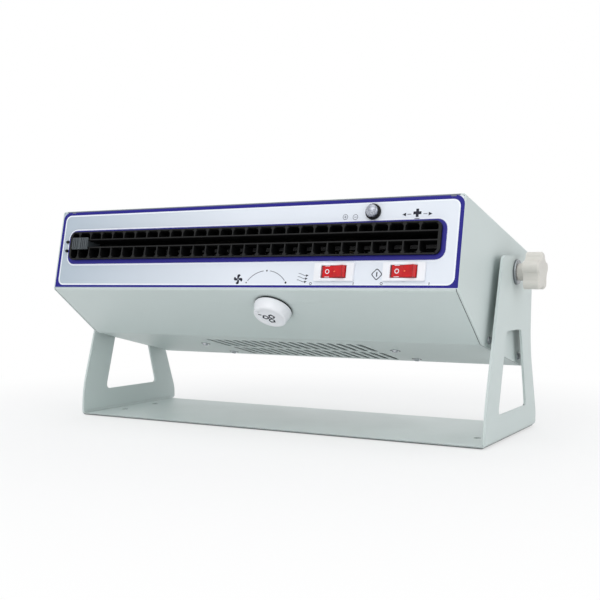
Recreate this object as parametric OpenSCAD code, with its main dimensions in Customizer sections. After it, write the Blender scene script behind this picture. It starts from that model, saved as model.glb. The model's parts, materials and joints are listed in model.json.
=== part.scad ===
// Bench-top ionizing air blower: tilting sheet-metal housing in a U-shaped stand.
// Lengths are in millimetres. X runs to the right, Y to the back and Z up.
// The origin is the middle of the stand's underside.

/* [Stand] */
// Gap between the housing and each arm
arm_gap = 6; // [3:0.5:20]
// Thickness of the stand's sheet
stand_sheet = 2; // [1.5:0.25:3]
// Outer radius of the bends between base and arms
bend_r = 4; // [3.5:0.5:8]
// Front edge of the base, forward of the middle
base_front = 76; // [70:1:90]
// Rear edge of the base, behind the middle
base_rear = 69; // [60:1:72]
// Foot of each arm, behind the middle
foot_rear = 76; // [75:1:90]
// Height of the pivot above the table
pivot_h = 141.5; // [138:0.5:170]
// Pivot's place behind the middle of the base
pivot_y = 3.8; // [0:0.2:8]
// How far the arms reach above the pivot
arm_over = 13.5; // [12:0.5:20]
// Front corner of an arm's top, forward of the pivot
arm_top_front = 39; // [36:1:50]
// Rear edge of an arm's top, behind the pivot
arm_top_rear = 51; // [46:1:60]
// Height at which the arm's rear edge starts to spread
waist_h = 76; // [70:1:100]
// Height of the lower edge of the arm windows
window_low = 23; // [18:1:30]
// Height of the upper edge of the arm windows
window_high = 92; // [80:1:105]
// Width of the windows at their lower edge
window_base = 84; // [70:1:90]
// Width of the windows at their upper edge
window_top = 44; // [36:1:50]
// Radius of the dimples pressed into the base
dimple_r = 3; // [2:0.25:4]
// Distance of the dimples from the arms
dimple_in = 18; // [12:1:30]

/* [Housing] */
// Width of the housing
housing_w = 400; // [380:1:404]
// Front face, forward of the pivot
front_reach = 120; // [116:0.5:122]
// Rear face, behind the pivot
rear_reach = 68.5; // [66:0.5:80]
// Top face, above the pivot
top_rise = 33.4; // [32:0.2:40]
// Lower edge of the front face, below the pivot
front_drop = 40.2; // [38.6:0.2:42]
// Bottom face, below the pivot
belly_drop = 71.8; // [70:0.2:78]
// Front-to-back run of the sloping face under the front
slope_run = 67; // [60:1:76]
// Thickness of the housing's sheet
sheet = 1.2; // [1:0.1:1.5]
// Tilt of the housing at rest, front up
tilt = 12; // [0:1:30]
// Height of the bend between front and slope
nose = 1.4; // [0.9:0.1:2]
// Thickness of the printed overlay on the front
overlay_t = 0.6; // [0.4:0.1:1]

/* [Outlet] */
// Width of the grille's flange
grille_w = 368; // [340:1:370]
// Height of the grille's flange
grille_h = 26.2; // [25:0.2:28]
// Middle of the grille, above the pivot
grille_mid = -0.9; // [-2:0.1:0]
// How far the grille stands out of the front
grille_proud = 3.5; // [2.5:0.1:5]
// Depth of the fins behind the front
grille_depth = 10; // [6:0.5:12]
// Spacing of the vertical fins
fin_pitch = 13.07; // [11:0.01:13.2]
// Number of vertical fins
fin_count = 27; // [15:2:27]
// Thickness of a fin
fin_t = 1.2; // [1:0.1:2]
// Shift of the fins from the middle
fin_shift = -3; // [-4:0.5:0]
// Clear height of the slot for the point cleaner
slot_h = 6.4; // [5.6:0.2:7]
// Middle of that slot, above the pivot
slot_mid = 0.8; // [0.4:0.1:1.2]
// Thickness of the bars on either side of the slot
bar_t = 1; // [0.8:0.1:1.6]
// Width of the blue surround
surround_w = 375; // [372:1:378]
// Height of the blue surround
surround_h = 31.9; // [31:0.1:33]
// Middle of the surround, above the pivot
surround_mid = -1.75; // [-2.2:0.05:-1.4]
// Thickness of the surround
surround_t = 0.8; // [0.4:0.1:1.2]

/* [Point cleaner] */
// Length of the slider along the slot
slider_l = 18; // [16:0.5:24]
// Height of the slider's ribbed grip
grip_h = 11; // [10:0.5:12]
// Number of emitter needles
needle_count = 13; // [7:2:17]
// Spacing of the emitter needles
needle_pitch = 26; // [12:1:26]
// Radius of an emitter needle
needle_r = 0.7; // [0.6:0.05:0.9]

/* [Controls] */
// Middle of the heater switch, right of the centre
heater_x = 95.8; // [85:0.1:100]
// Middle of the power switch, right of the centre
power_x = 155.8; // [145:0.1:165]
// Height of both switches, from the pivot
switch_z = -27; // [-28:0.1:-26.4]
// Length of a switch bezel
bezel_l = 35; // [33:0.5:38]
// Height of a switch bezel
bezel_h = 14.8; // [14.4:0.1:15]
// Length of a rocker
rocker_l = 22; // [20:0.5:24]
// Height of a rocker
rocker_h = 9.8; // [9:0.1:10.2]
// Swing of a rocker from one side to the other
rocker_swing = 16; // [10:1:20]
// Middle of the indicator lamp, right of the centre
lamp_x = 125; // [110:1:135]
// Height of the indicator lamp, from the pivot
lamp_z = 21.5; // [21.2:0.1:22]
// Radius of the lamp's bezel
lamp_r = 6.4; // [5.8:0.1:6.6]
// Middle of the speed knob, right of the centre
knob_x = 29.5; // [0:0.5:50]
// Middle of the speed knob, down the slope from the front edge
knob_s = 24.8; // [22:0.1:36]
// Radius of the speed knob's face
knob_r = 14.7; // [12:0.1:17]
// How far the knob's foot is wider than its face
knob_skirt = 1.8; // [0.4:0.1:3]
// Height of the speed knob
knob_h = 11; // [9:0.5:14]
// Angle of the knob's pointer at rest, from straight up
knob_rest = 48; // [0:1:60]

/* [Clamps] */
// Radius of the clamp stud (M6)
stud_r = 3; // [2.5:0.5:4]
// Radius of the star knob over its lobes
star_r = 17; // [15:0.5:20]
// Thickness of the star
star_t = 14; // [10:0.5:16]
// Number of lobes
star_lobes = 5; // [4:1:7]
// Radius of the knob's neck
neck_r = 7.8; // [6.5:0.1:9]
// Length of the knob's neck
neck_l = 7; // [5:0.5:9]
// Radius of the washer under the knob
washer_r = 10.5; // [9:0.5:13.5]
// Thickness of that washer
washer_t = 2; // [1.5:0.1:3]

/* [Fan] */
// Radius of the cross-flow rotor
rotor_r = 26.5; // [24:0.5:27]
// Length of the rotor between its end discs
rotor_l = 184; // [172:1:196]
// Number of rotor blades
blade_count = 24; // [16:1:30]
// Chord of a blade along the radius
blade_chord = 6; // [5:0.5:7]
// Thickness of a blade
blade_t = 0.8; // [0.6:0.1:1]
// Rotor axis, behind the pivot
rotor_y = 18; // [16:0.5:20]
// Rotor axis, from the height of the pivot
rotor_z = -22; // [-23:0.5:-21]
// Radius of the rotor shaft
shaft_r = 3; // [2.5:0.25:3.5]
// Distance between the left and the right screws of the fan
fan_w = 206; // [196:1:212]
// Clear width of the duct at the fan
throat_w = 190; // [178:1:196]

/* [Underside] */
// Number of air inlet slots in each row
inlet_count = 17; // [9:2:17]
// Spacing of the inlet slots
inlet_pitch = 10; // [8:0.5:10]
// Width of an inlet slot
inlet_w = 5; // [3:0.25:5]
// Front end of the front row, from the pivot
inlet_y0 = -31; // [-34:1:-28]
// Length of a slot in either row
inlet_l = 42; // [36:1:43]
// Gap between the two rows
inlet_gap = 8; // [6:1:10]
// Place of the front pair of fan screws, from the pivot
screw_y0 = 0; // [-2:0.5:2]
// Spacing of the fan screws, front to back
screw_dy = 54; // [50:0.5:55]
// Radius of a screw head
head_r = 3.4; // [3:0.1:3.8]
// Radius of a screw's thread
thread_r = 1.9; // [1.5:0.1:2]

/* [Power inlet] */
// Middle of the inlet socket, left of the centre
socket_x = 150; // [120:1:165]
// Height of the inlet socket, from the pivot
socket_z = -42; // [-46:1:-30]
// Width of the socket's flange over its ears
socket_w = 50; // [48:0.5:52]
// Height of the socket's flange
socket_h = 24; // [23.5:0.5:26]

/* [Hidden] */

$fn = 48;
eps = 0.01;      // overlap that fuses two forms of one solid
run = 0.05;      // radial clearance of a running fit
gap = 0.3;       // clearance between pieces that pass each other
air = 0.1;       // clearance between pieces that are fitted together
seam = 0.5;      // open joint between the tray and the cover's sides
slack = 0.2;     // clearance of a screw or stud in a plain hole
pale = "#c9d4d2";
ivory = "#eceae4";
coal = "#17181b";

// Places along X
half_w = housing_w / 2;
inner_w = half_w - sheet;
arm_x = half_w + arm_gap + stand_sheet;   // outer face of the arms
stand_w = 2 * arm_x;
spacer_t = arm_gap - air;
panel_w = inner_w - air;
tray_w = inner_w - seam;

// Side outline of the housing, from the top of the front, around the bottom to the top rear
slope_top = front_drop + nose;            // where front and slope would meet without the bend
slope_angle = atan2(belly_drop - slope_top, slope_run);
bottom_y0 = -front_reach + slope_run;     // front edge of the bottom
nose_r = (nose - air) / tan((90 - slope_angle) / 2);
nose_line = concat([[-front_reach, -front_drop]],
                   arc([-front_reach + nose_r, -front_drop - air], nose_r, 180, 270 - slope_angle, 6));
housing_outline = concat([[-front_reach, top_rise]], nose_line,
                         [[bottom_y0, -belly_drop], [rear_reach, -belly_drop],
                          [rear_reach, top_rise]]);
panel_y = -front_reach + overlay_t;       // front of the metal panel
panel_back = panel_y + sheet;
floor_z = -belly_drop + sheet;            // inside of the bottom
rear_in = rear_reach - sheet;

// Grille and duct
body_w = grille_w - 3;                    // part of the grille that passes through the panel
body_h = grille_h - 1.6;
cut_w = body_w + 2 * gap;
cut_h = body_h + 2 * gap;
duct_w = cut_w + 2;
duct_h = cut_h + 1.6;
duct_t = 1;
duct_y0 = panel_back + air;
duct_y1 = -front_reach + 38;              // end of the straight stretch
duct_y2 = rotor_y - rotor_r - 22;         // end at the fan
grille_front = -front_reach - grille_proud;
bar_y1 = -front_reach + grille_depth;     // rear of bars and fins

// Emitter
emitter_y = duct_y1 - 8;
emitter_d = 5;
emitter_h = 4;
needle_l = 8;
slider_x = -body_w / 2 + slider_l / 2 + 3;
brush_y0 = bar_y1 + gap;                  // front of the carrier behind the grille
brush_t = 3;

// Fan, from the rotor's ends outward
plate_t = 1.2;
disc_t = 1.2;
bearing_r = 6;
bearing_l = 6;
end_play = 1.2;                           // between the rotor's end and the bearing
bearing_x = rotor_l / 2 + disc_t + end_play + bearing_l / 2;
plate_x = bearing_x + plate_t / 2;        // outer face of a side plate
foot_half = 5.5;                          // foot to either side of its screws
foot_x0 = min(plate_x - plate_t, fan_w / 2 - foot_half);
foot_x1 = max(plate_x, fan_w / 2 + foot_half);
foot_y0 = screw_y0 - 12;
foot_y1 = screw_y0 + screw_dy + 6;
fan_screw_l = 7;
scroll_t = 1;
scroll_w = 2 * (plate_x - plate_t - gap);

// Motor, beside the right plate
post_r = 2.5;
post_l = 12;                              // from the plate to the stator
core_x = plate_x + post_l;
core_l = 16;
armature_r = 12.6;
bracket_gap = 9;
bracket_x = core_x + core_l + bracket_gap;
post_dy = 19;
post_dz = 15;

function arc(c, r, a0, a1, n) =
    [for (i = [0:n]) c + r * [cos(a0 + (a1 - a0) * i / n), sin(a0 + (a1 - a0) * i / n)]];

// Outline of a rectangle with rounded corners
function round_rect(w, h, r, n = 6) =
    concat(arc([w / 2 - r, h / 2 - r], r, 0, 90, n), arc([-w / 2 + r, h / 2 - r], r, 90, 180, n),
           arc([-w / 2 + r, -h / 2 + r], r, 180, 270, n), arc([w / 2 - r, -h / 2 + r], r, 270, 360, n));

function unit(v) = v / norm(v);
function left_of(v) = [-v[1], v[0]];

// Rounds the corner at b, between a and c, with radius r, as a quadratic curve of n steps
function soft_corner(a, b, c, r, n = 5) =
    let (p = b + r * unit(a - b), q = b + r * unit(c - b))
    [for (i = [0:n]) let (t = i / n) (1 - t) * (1 - t) * p + 2 * t * (1 - t) * b + t * t * q];

// A closed outline with every corner i softened by radius rs[i]
function soften(pts, rs) =
    [for (i = [0:len(pts) - 1])
        let (a = pts[(i + len(pts) - 1) % len(pts)], b = pts[i], c = pts[(i + 1) % len(pts)])
        each (rs[i] > 0 ? soft_corner(a, b, c, rs[i]) : [b])];

// Normal of an open path at point i, scaled so that offsets keep a constant thickness
function path_normal(p, i) =
    i == 0 ? left_of(unit(p[1] - p[0]))
    : i == len(p) - 1 ? left_of(unit(p[i] - p[i - 1]))
    : let (n0 = left_of(unit(p[i] - p[i - 1])), n1 = left_of(unit(p[i + 1] - p[i])), m = n0 + n1)
      m * 2 / (m * m);

// Closed outline of a sheet that follows the path, its thickness t to the left
function sheet_outline(p, t) =
    concat(p, [for (i = [len(p) - 1:-1:0]) p[i] + t * path_normal(p, i)]);

// Places children, drawn in the housing's own frame, at the pivot and tilted
module in_housing() {
    translate([0, pivot_y, pivot_h]) rotate([-tilt, 0, 0]) children();
}

// Draws a side outline (y, z) as a solid of length w along X, centred
module side_extrude(w) {
    translate([-w / 2, 0, 0]) rotate([90, 0, 90]) linear_extrude(w) children();
}

// Local frame on the front: X right, Y up, Z out of the face
module on_front(x, z) {
    translate([x, -front_reach, z]) rotate([90, 0, 0]) children();
}

// Local frame on the slope: X right, Y up towards the front edge, Z out of the face
module on_slope(x, s) {
    translate([x, -front_reach + s * cos(slope_angle), -slope_top - s * sin(slope_angle)])
        rotate([180 - slope_angle, 0, 0]) children();
}

// Local frame on the rear, seen from behind: X to the housing's left, Y up, Z out
module on_rear(x, z) {
    translate([x, rear_reach, z]) rotate([90, 0, 180]) children();
}

// Local frame at the pivot of one side: Z outward from the housing's side
module at_pivot(side) {
    translate([side * half_w, 0, 0]) rotate([0, side * 90, 0]) children();
}

// Local frame of the rotor axis, Z along X
module at_rotor(x) {
    translate([x, rotor_y, rotor_z]) rotate([0, 90, 0]) children();
}

module box_at(x0, x1, y0, y1, z0, z1) {
    translate([x0, y0, z0]) cube([x1 - x0, y1 - y0, z1 - z0]);
}

// ---- Stand ----

arm_top = pivot_h + arm_over;
foot_h = 14;     // height of the upright edge of a foot
arm_outline = soften(
    [[-base_front, 0], [base_rear, 0], [base_rear, stand_sheet], [foot_rear, stand_sheet + 1],
     [foot_rear, foot_h], [arm_top_rear + pivot_y - 2, waist_h], [arm_top_rear + pivot_y, arm_top],
     [-arm_top_front + pivot_y, arm_top], [-base_front - 0.5, 22]],
    [2, 0.5, 0.5, 2, 5, 20, 7, 7, 20]);

window_outline = soften(
    [[-window_base / 2, window_low], [window_base / 2, window_low],
     [window_top / 2, window_high], [-window_top / 2, window_high]], [7, 5, 4, 4]);

dimple_y = [-34, 16];
dimple_d = 1.1;

spare = 5;       // how far the strip reaches past its cut edges

// The bent strip, seen from the front
strip_path = concat([[-arm_x, arm_top]], arc([-arm_x + bend_r, bend_r], bend_r, 180, 270, 6),
                    arc([arm_x - bend_r, bend_r], bend_r, 270, 360, 6), [[arm_x, arm_top]]);

module stand_bracket() color(pale) difference() {
    intersection() {
        translate([0, foot_rear + spare, 0]) rotate([90, 0, 0])
            linear_extrude(base_front + foot_rear + 2 * spare)
                polygon(sheet_outline(strip_path, stand_sheet));
        side_extrude(stand_w + 2) polygon(arm_outline);
    }
    side_extrude(stand_w + 2) polygon(window_outline);
    for (side = [-1, 1], y = dimple_y)
        translate([side * (arm_x - stand_sheet - dimple_in), y, stand_sheet - dimple_d])
            cylinder(r1 = dimple_r * 0.6, r2 = dimple_r, h = dimple_d + eps, $fn = 32);
    translate([-arm_x - 1, pivot_y, pivot_h]) rotate([0, 90, 0])
        cylinder(r = stud_r + air, h = stand_w + 2);
}

// ---- Housing shells ----

flange = 9;      // width of the flanges at the rear and the top
front_flange = 5;
tray_lip = 13;   // height of the tray's ends
screw_side_z = -belly_drop + 6.5;
side_screw_y = [-36, 52];

module screw_hole_row(r, h) {
    for (side = [-1, 1], y = side_screw_y)
        translate([side * (half_w - h / 2), y, screw_side_z]) rotate([0, 90, 0])
            cylinder(r = r, h = h + 2, center = true, $fn = 24);
}

module fan_screw_places() {
    for (side = [-1, 1], y = [screw_y0, screw_y0 + screw_dy])
        translate([side * fan_w / 2, y, -belly_drop]) children();
}

tray_front = panel_back + air;
tray_path = concat(nose_line, [[bottom_y0, -belly_drop], [rear_in - air, -belly_drop],
                               [rear_in - air, -belly_drop + flange]]);
flange_low = -slope_top - (tray_front + front_reach) * tan(slope_angle) + 0.4 * sheet;

module inlet_slots() {
    for (row = [0, 1], i = [0:inlet_count - 1])
        translate([(i - (inlet_count - 1) / 2) * inlet_pitch,
                   inlet_y0 + inlet_l / 2 + row * (inlet_l + inlet_gap), -belly_drop - 1])
            linear_extrude(sheet + 2) polygon(round_rect(inlet_w, inlet_l, inlet_w / 2 - eps, 4));
}

module lower_tray() color(pale) in_housing() difference() {
    union() {
        side_extrude(2 * tray_w) polygon(sheet_outline(tray_path, sheet));
        box_at(-tray_w, tray_w, tray_front, tray_front + sheet, flange_low,
               -front_drop + front_flange);
        for (side = [-1, 1]) tray_side(side);
    }
    inlet_slots();
    fan_screw_places() translate([0, 0, -1]) cylinder(r = thread_r + slack, h = sheet + 2, $fn = 24);
    on_slope(knob_x, knob_s) translate([0, 0, -8]) cylinder(r = bush_r + slack, h = 12);
    screw_hole_row(thread_r + slack, 2 * sheet + 2);
}

// Upright flange at each end of the tray, behind the cover's side
module tray_side(side) {
    x0 = side > 0 ? tray_w - sheet : -tray_w;
    top = -belly_drop + tray_lip;
    translate([x0, 0, 0]) rotate([90, 0, 90]) linear_extrude(sheet)
        polygon([[bottom_y0, -belly_drop + eps], [rear_in - air, -belly_drop + eps],
                 [rear_in - air, top], [bottom_y0 + 4, top]]);
}

cover_path = concat([[half_w, -belly_drop]], arc([half_w - 2, top_rise - 2], 2, 0, 90, 4),
                    arc([-half_w + 2, top_rise - 2], 2, 90, 180, 4), [[-half_w, -belly_drop]]);

// Top and both sides in one bent sheet
module top_cover() color(pale) in_housing() difference() {
    intersection() {
        translate([0, rear_reach, 0]) rotate([90, 0, 0])
            linear_extrude(front_reach + rear_reach) polygon(sheet_outline(cover_path, sheet));
        side_extrude(housing_w + 2) polygon(housing_outline);
    }
    for (side = [-1, 1]) at_pivot(side) translate([0, 0, -sheet - 1])
        cylinder(r = stud_r + slack, h = sheet + 2);
    screw_hole_row(thread_r + slack, 2 * sheet + 2);
}

// Upright panel from z0 to the cover's top, its upper corners cut to clear the cover's bends,
// with a flange folded back under the top; front face at y0, flange towards dir
module cover_panel(y0, z0, t, dir, fold) {
    z1 = top_rise - sheet - air;
    translate([0, y0 + t, 0]) rotate([90, 0, 0]) linear_extrude(t)
        polygon([[-panel_w, z0], [panel_w, z0], [panel_w, z1 - 1], [panel_w - 1, z1],
                 [-panel_w + 1, z1], [-panel_w, z1 - 1]]);
    if (fold > 0) box_at(-panel_w + 1, panel_w - 1, dir > 0 ? y0 + t - eps : y0 - fold,
                         dir > 0 ? y0 + t + fold : y0 + eps, z1 - t, z1);
}

module rear_panel() color(pale) in_housing() difference() {
    cover_panel(rear_in, -belly_drop, sheet, -1, flange);
    on_rear(-socket_x, socket_z) translate([0, 0, -sheet - 1])
        linear_extrude(sheet + 2) polygon(round_rect(socket_cut_w, socket_cut_h, 2, 4));
}

module front_cutouts(depth, extra) {
    translate([0, 0, -depth - 1]) linear_extrude(depth + 2) {
        translate([0, grille_mid]) polygon(round_rect(cut_w + extra, cut_h + extra, 4, 5));
        for (x = [heater_x, power_x]) translate([x, switch_z])
            polygon(round_rect(bezel_l - 5.6 + extra, bezel_h - 2 + extra, 1, 2));
    }
    translate([lamp_x, lamp_z, -depth - 1]) cylinder(r = lamp_r - 1.2 + extra / 2, h = depth + 2);
}

module front_panel() color(pale) in_housing() difference() {
    cover_panel(panel_y, -front_drop + air, sheet, 1, flange);
    on_front(0, 0) translate([0, 0, -overlay_t]) front_cutouts(sheet, 0);
}

module front_overlay() color("#e4e9f1") in_housing() difference() {
    cover_panel(-front_reach, -front_drop + air, overlay_t, 1, 0);
    on_front(0, 0) front_cutouts(overlay_t, 0.2);
}

// ---- Outlet ----

module outlet_surround() color("#1f1c86") in_housing()
    on_front(0, surround_mid) linear_extrude(surround_t) difference() {
        polygon(round_rect(surround_w, surround_h, 8));
        translate([0, grille_mid - surround_mid]) polygon(round_rect(cut_w, cut_h, 4, 5));
    }

// One grille window between two fins; the side away from the slot has round corners
module grille_cell(x0, x1, z0, z1) {
    r = min(2.6, (x1 - x0) / 3);
    up = z1 > z0 ? 1 : -1;
    polygon(concat([[x0, z0], [x1, z0]],
                   arc([x1 - r, z1 - up * r], r, 0, up * 90, 4),
                   arc([x0 + r, z1 - up * r], r, up * 90, up * 180, 4)));
}

bar_up = slot_mid + slot_h / 2;           // lower face of the upper bar
bar_low = slot_mid - slot_h / 2;          // upper face of the lower bar
rim = 0.9;                                // wall of the grille's body
lip_d = 2.8;                              // rounding of the windows' outer edges, into the grille
lip_h = 1.1;                              // and across its front
cell_top = grille_mid + body_h / 2 - rim;
cell_low = grille_mid - body_h / 2 + rim;
fin_room = body_w / 2 - rim - fin_t;      // fins stand no further out than this
fin_x = [for (i = [0:fin_count - 1]) let (x = (i - (fin_count - 1) / 2) * fin_pitch + fin_shift)
    if (abs(x) < fin_room) x];
cell_edges = concat([-body_w / 2 + rim - fin_t / 2], fin_x, [body_w / 2 - rim + fin_t / 2]);

module grille_windows() {
    for (i = [0:len(cell_edges) - 2]) {
        x0 = cell_edges[i] + fin_t / 2;
        x1 = cell_edges[i + 1] - fin_t / 2;
        grille_cell(x0, x1, bar_up + bar_t, cell_top);
        grille_cell(x0, x1, bar_low - bar_t, cell_low);
    }
    translate([0, slot_mid]) square([body_w - 2 * rim, slot_h], center = true);
}

// Rounded mouth along the outer edge of a row, between the fins; z is the edge, up its side
module grille_mouth(z, up) {
    y = grille_front + lip_d;
    profile = concat([[grille_front - 1, z], [grille_front - 1, z + up * lip_h]],
                     [for (i = [0:5]) [y - lip_d * cos(i * 18), z + up * lip_h * (1 - sin(i * 18))]]);
    for (i = [0:len(cell_edges) - 2]) {
        x0 = cell_edges[i] + fin_t / 2 + mouth_in;
        x1 = cell_edges[i + 1] - fin_t / 2 - mouth_in;
        translate([(x0 + x1) / 2, 0, 0]) side_extrude(x1 - x0) polygon(profile);
    }
}

mouth_in = 0.9;

// Moulded outlet grille: flange, two rows of finned windows and the cleaner's slot between them
module outlet_grille() color(coal) in_housing() difference() {
    union() {
        on_front(0, grille_mid) translate([0, 0, surround_t])
            linear_extrude(grille_proud - surround_t) polygon(round_rect(grille_w, grille_h, 5));
        on_front(0, grille_mid) translate([0, 0, -grille_depth])
            linear_extrude(grille_depth + surround_t + eps)
                polygon(round_rect(body_w, body_h, 3.7, 5));
    }
    on_front(0, 0) translate([0, 0, -grille_depth - 1])
        linear_extrude(grille_depth + grille_proud + 2) grille_windows();
    grille_mouth(cell_top, 1);
    grille_mouth(cell_low, -1);
}

module at_slider() {
    translate([slider_x, 0, slot_mid]) children();
}

// Grip, neck through the slot and carrier behind the bars
module cleaner_slider() color("#5d6164") in_housing() at_slider() {
    front = grille_front - gap;
    neck_h = slot_h - 2 * gap;
    box_at(-slider_l / 2, slider_l / 2, front - 1.2, front, -grip_h / 2, grip_h / 2);
    for (i = [0:7]) if (i != 3)
        box_at(-slider_l / 2 + 0.6 + i * 2.2, -slider_l / 2 + 1.8 + i * 2.2, front - 2.2,
               front - 1.2 + eps, -grip_h / 2 + 0.4, grip_h / 2 - 0.4);
    box_at(-slider_l / 2 + 1, slider_l / 2 - 1, front - eps, brush_y0 + eps, -neck_h / 2, neck_h / 2);
    box_at(-slider_l / 2 + 1, slider_l / 2 - 1, brush_y0, brush_y0 + brush_t,
           -neck_h / 2 - 2, neck_h / 2 + 2);
}

// Two rows of bristle tufts that pass above and below the needle tips
module cleaner_brush() color("#d8d2c0") in_housing() at_slider() {
    y0 = brush_y0 + brush_t;
    y1 = emitter_y - gap;
    for (up = [-1, 1]) {
        box_at(-6, 6, y0, y0 + 2, up > 0 ? needle_r + gap : -needle_r - gap - 2.4,
               up > 0 ? needle_r + gap + 2.4 : -needle_r - gap);
        for (x = [-4:2:4]) translate([x, y0 + 2 - eps, up * (needle_r + gap + 1.2)])
            rotate([-90, 0, 0]) cylinder(r = 0.7, h = y1 - y0 - 2, $fn = 16);
    }
}

module emitter_bar() color("#e8e4d8") in_housing()
    translate([0, 0, slot_mid])
        box_at(-duct_w / 2, duct_w / 2, emitter_y, emitter_y + emitter_d,
               -emitter_h / 2, emitter_h / 2);

module emitter_needles() color("silver") in_housing()
    for (i = [0:needle_count - 1])
        translate([(i - (needle_count - 1) / 2) * needle_pitch, emitter_y, slot_mid])
            rotate([90, 0, 0]) {
                cylinder(r = needle_r, h = needle_l - 3, $fn = 16);
                translate([0, 0, needle_l - 3]) cylinder(r1 = needle_r, r2 = 0.08, h = 3, $fn = 16);
            }

// Plan of the duct: straight behind the grille, then narrowing to the fan
function duct_plan(off) =
    [[-duct_w / 2 - off, duct_y0], [duct_w / 2 + off, duct_y0], [duct_w / 2 + off, duct_y1],
     [throat_w / 2 + off, duct_y2], [-throat_w / 2 - off, duct_y2], [-duct_w / 2 - off, duct_y1]];

// The inside of the duct, run past both open ends
function duct_bore() =
    [[-duct_w / 2, duct_y0 - 1], [duct_w / 2, duct_y0 - 1], [duct_w / 2, duct_y1],
     [throat_w / 2, duct_y2], [throat_w / 2, duct_y2 + 1], [-throat_w / 2, duct_y2 + 1],
     [-throat_w / 2, duct_y2], [-duct_w / 2, duct_y1]];

module outlet_duct() color("#b9bfc2") in_housing() translate([0, 0, grille_mid]) difference() {
    translate([0, 0, -duct_h / 2 - duct_t]) linear_extrude(duct_h + 2 * duct_t)
        polygon(duct_plan(duct_t));
    translate([0, 0, -duct_h / 2]) linear_extrude(duct_h) polygon(duct_bore());
}

heater_y = (duct_y1 + duct_y2) / 2;
heater_half = throat_w / 2 - 14;
heater_pitch = 5;
heater_rows = [for (i = [0:3]) (i - 1.6) * heater_pitch];
card_d = 18;     // depth of a mica card
card_t = 1.6;
wire_r = 0.8;
wire_y = 4;      // either plane of wires, from the middle of the card
wire_over = 3;   // wires past the cards
rail = 1.5;

// Two mica cards and the rails that hold them in the duct
module heater_frame() color("#b9a98c") in_housing() translate([0, heater_y, grille_mid]) {
    difference() {
        for (side = [-1, 1])
            box_at(side * heater_half - card_t / 2, side * heater_half + card_t / 2,
                   -card_d / 2, card_d / 2, -duct_h / 2, duct_h / 2);
        heater_wires(run);
    }
    for (y = [-card_d / 2, card_d / 2 - rail])
        box_at(-heater_half - card_t / 2 + eps, heater_half + card_t / 2 - eps, y, y + rail,
               duct_h / 2 - rail, duct_h / 2);
}

module heater_wires(extra) {
    for (y = [-wire_y, wire_y], z = heater_rows)
        translate([-heater_half - wire_over, y, z]) rotate([0, 90, 0])
            cylinder(r = wire_r + extra, h = 2 * (heater_half + wire_over), $fn = 16);
}

// Resistance wires strung between the cards, joined in pairs at their ends
module heater_coil() color("#9a8f86") in_housing() translate([0, heater_y, grille_mid]) {
    heater_wires(0);
    for (side = [-1, 1], z = heater_rows)
        translate([side * (heater_half + wire_over), -wire_y, z]) rotate([-90, 0, 0])
            cylinder(r = wire_r, h = 2 * wire_y, $fn = 16);
}

// ---- Fan ----

// Spiral casing round the rotor: its radius grows from the inlet side to the duct's top wall
duct_top = grille_mid + duct_h / 2;
duct_low = grille_mid - duct_h / 2;
scroll_r1 = duct_top - rotor_z;
scroll_r0 = rotor_r + 3;
function scroll_radius(t) = scroll_r0 * pow(scroll_r1 / scroll_r0, t);
scroll_path = concat(
    [for (i = [0:12]) let (t = i / 12, a = -50 + 140 * t)
        [rotor_y, rotor_z] + scroll_radius(t) * [cos(a), sin(a)]],
    [[duct_y2 + air, duct_top]]);

module fan_scroll() color("#aeb4b8") in_housing()
    side_extrude(scroll_w) polygon(sheet_outline([for (i = [len(scroll_path) - 1:-1:0])
                                                  scroll_path[i]], scroll_t));

// Vortex tongue between the rotor and the duct's bottom wall
tongue_r = 3;
tongue_y = rotor_y - rotor_r - tongue_r - 2;   // middle of its rounded nose
tongue_l = rotor_r * 0.6;
tongue_lean = 7;
tongue_path = concat([[duct_y2 + air, duct_low - scroll_t]],
    arc([tongue_y, duct_low - scroll_t - tongue_r], tongue_r, 90, -60, 6),
    [[tongue_y - tongue_lean, rotor_z - tongue_l]]);

module fan_tongue() color("#aeb4b8") in_housing()
    side_extrude(scroll_w) polygon(sheet_outline(tongue_path, scroll_t));

plate_front = rotor_y - rotor_r - 7.5;
plate_top = duct_top + 4;
plate_outline = soften(
    [[foot_y0, floor_z], [foot_y1, floor_z], [rotor_y + rotor_r + 15.5, rotor_z],
     [rotor_y + rotor_r * 0.75, plate_top], [plate_front, plate_top], [plate_front, rotor_z]],
    [0, 0, 8, 6, 6, 8]);

// Side plate of the fan with its foot on the tray
module fan_plate(side) {
    x0 = side > 0 ? plate_x - plate_t : -plate_x;
    difference() {
        union() {
            translate([x0, 0, 0]) rotate([90, 0, 90]) linear_extrude(plate_t)
                polygon(plate_outline);
            box_at(side > 0 ? foot_x0 : -foot_x1, side > 0 ? foot_x1 : -foot_x0,
                   foot_y0, foot_y1, floor_z, floor_z + plate_t);
        }
        at_rotor(x0 - 1) cylinder(r = bearing_r, h = plate_t + 2);
        fan_screw_places() cylinder(r = thread_r + slack, h = fan_screw_l + 1, $fn = 24);
        if (side > 0) for (dy = [-post_dy, post_dy])
            translate([x0 - 1, rotor_y + dy, rotor_z + post_dz]) rotate([0, 90, 0])
                cylinder(r = 1.5, h = plate_t + 2, $fn = 24);
    }
}

module fan_plate_left() color("#c3c8ca") in_housing() fan_plate(-1);
module fan_plate_right() color("#c3c8ca") in_housing() fan_plate(1);

module bearing(x) {
    at_rotor(x - bearing_l / 2) difference() {
        cylinder(r = bearing_r, h = bearing_l);
        translate([0, 0, -1]) cylinder(r = shaft_r + run, h = bearing_l + 2);
    }
}

module fan_bearings() color("#b08d4c") in_housing()
    for (x = [-bearing_x, bearing_x, bracket_x + plate_t / 2])
        bearing(x);

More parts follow.
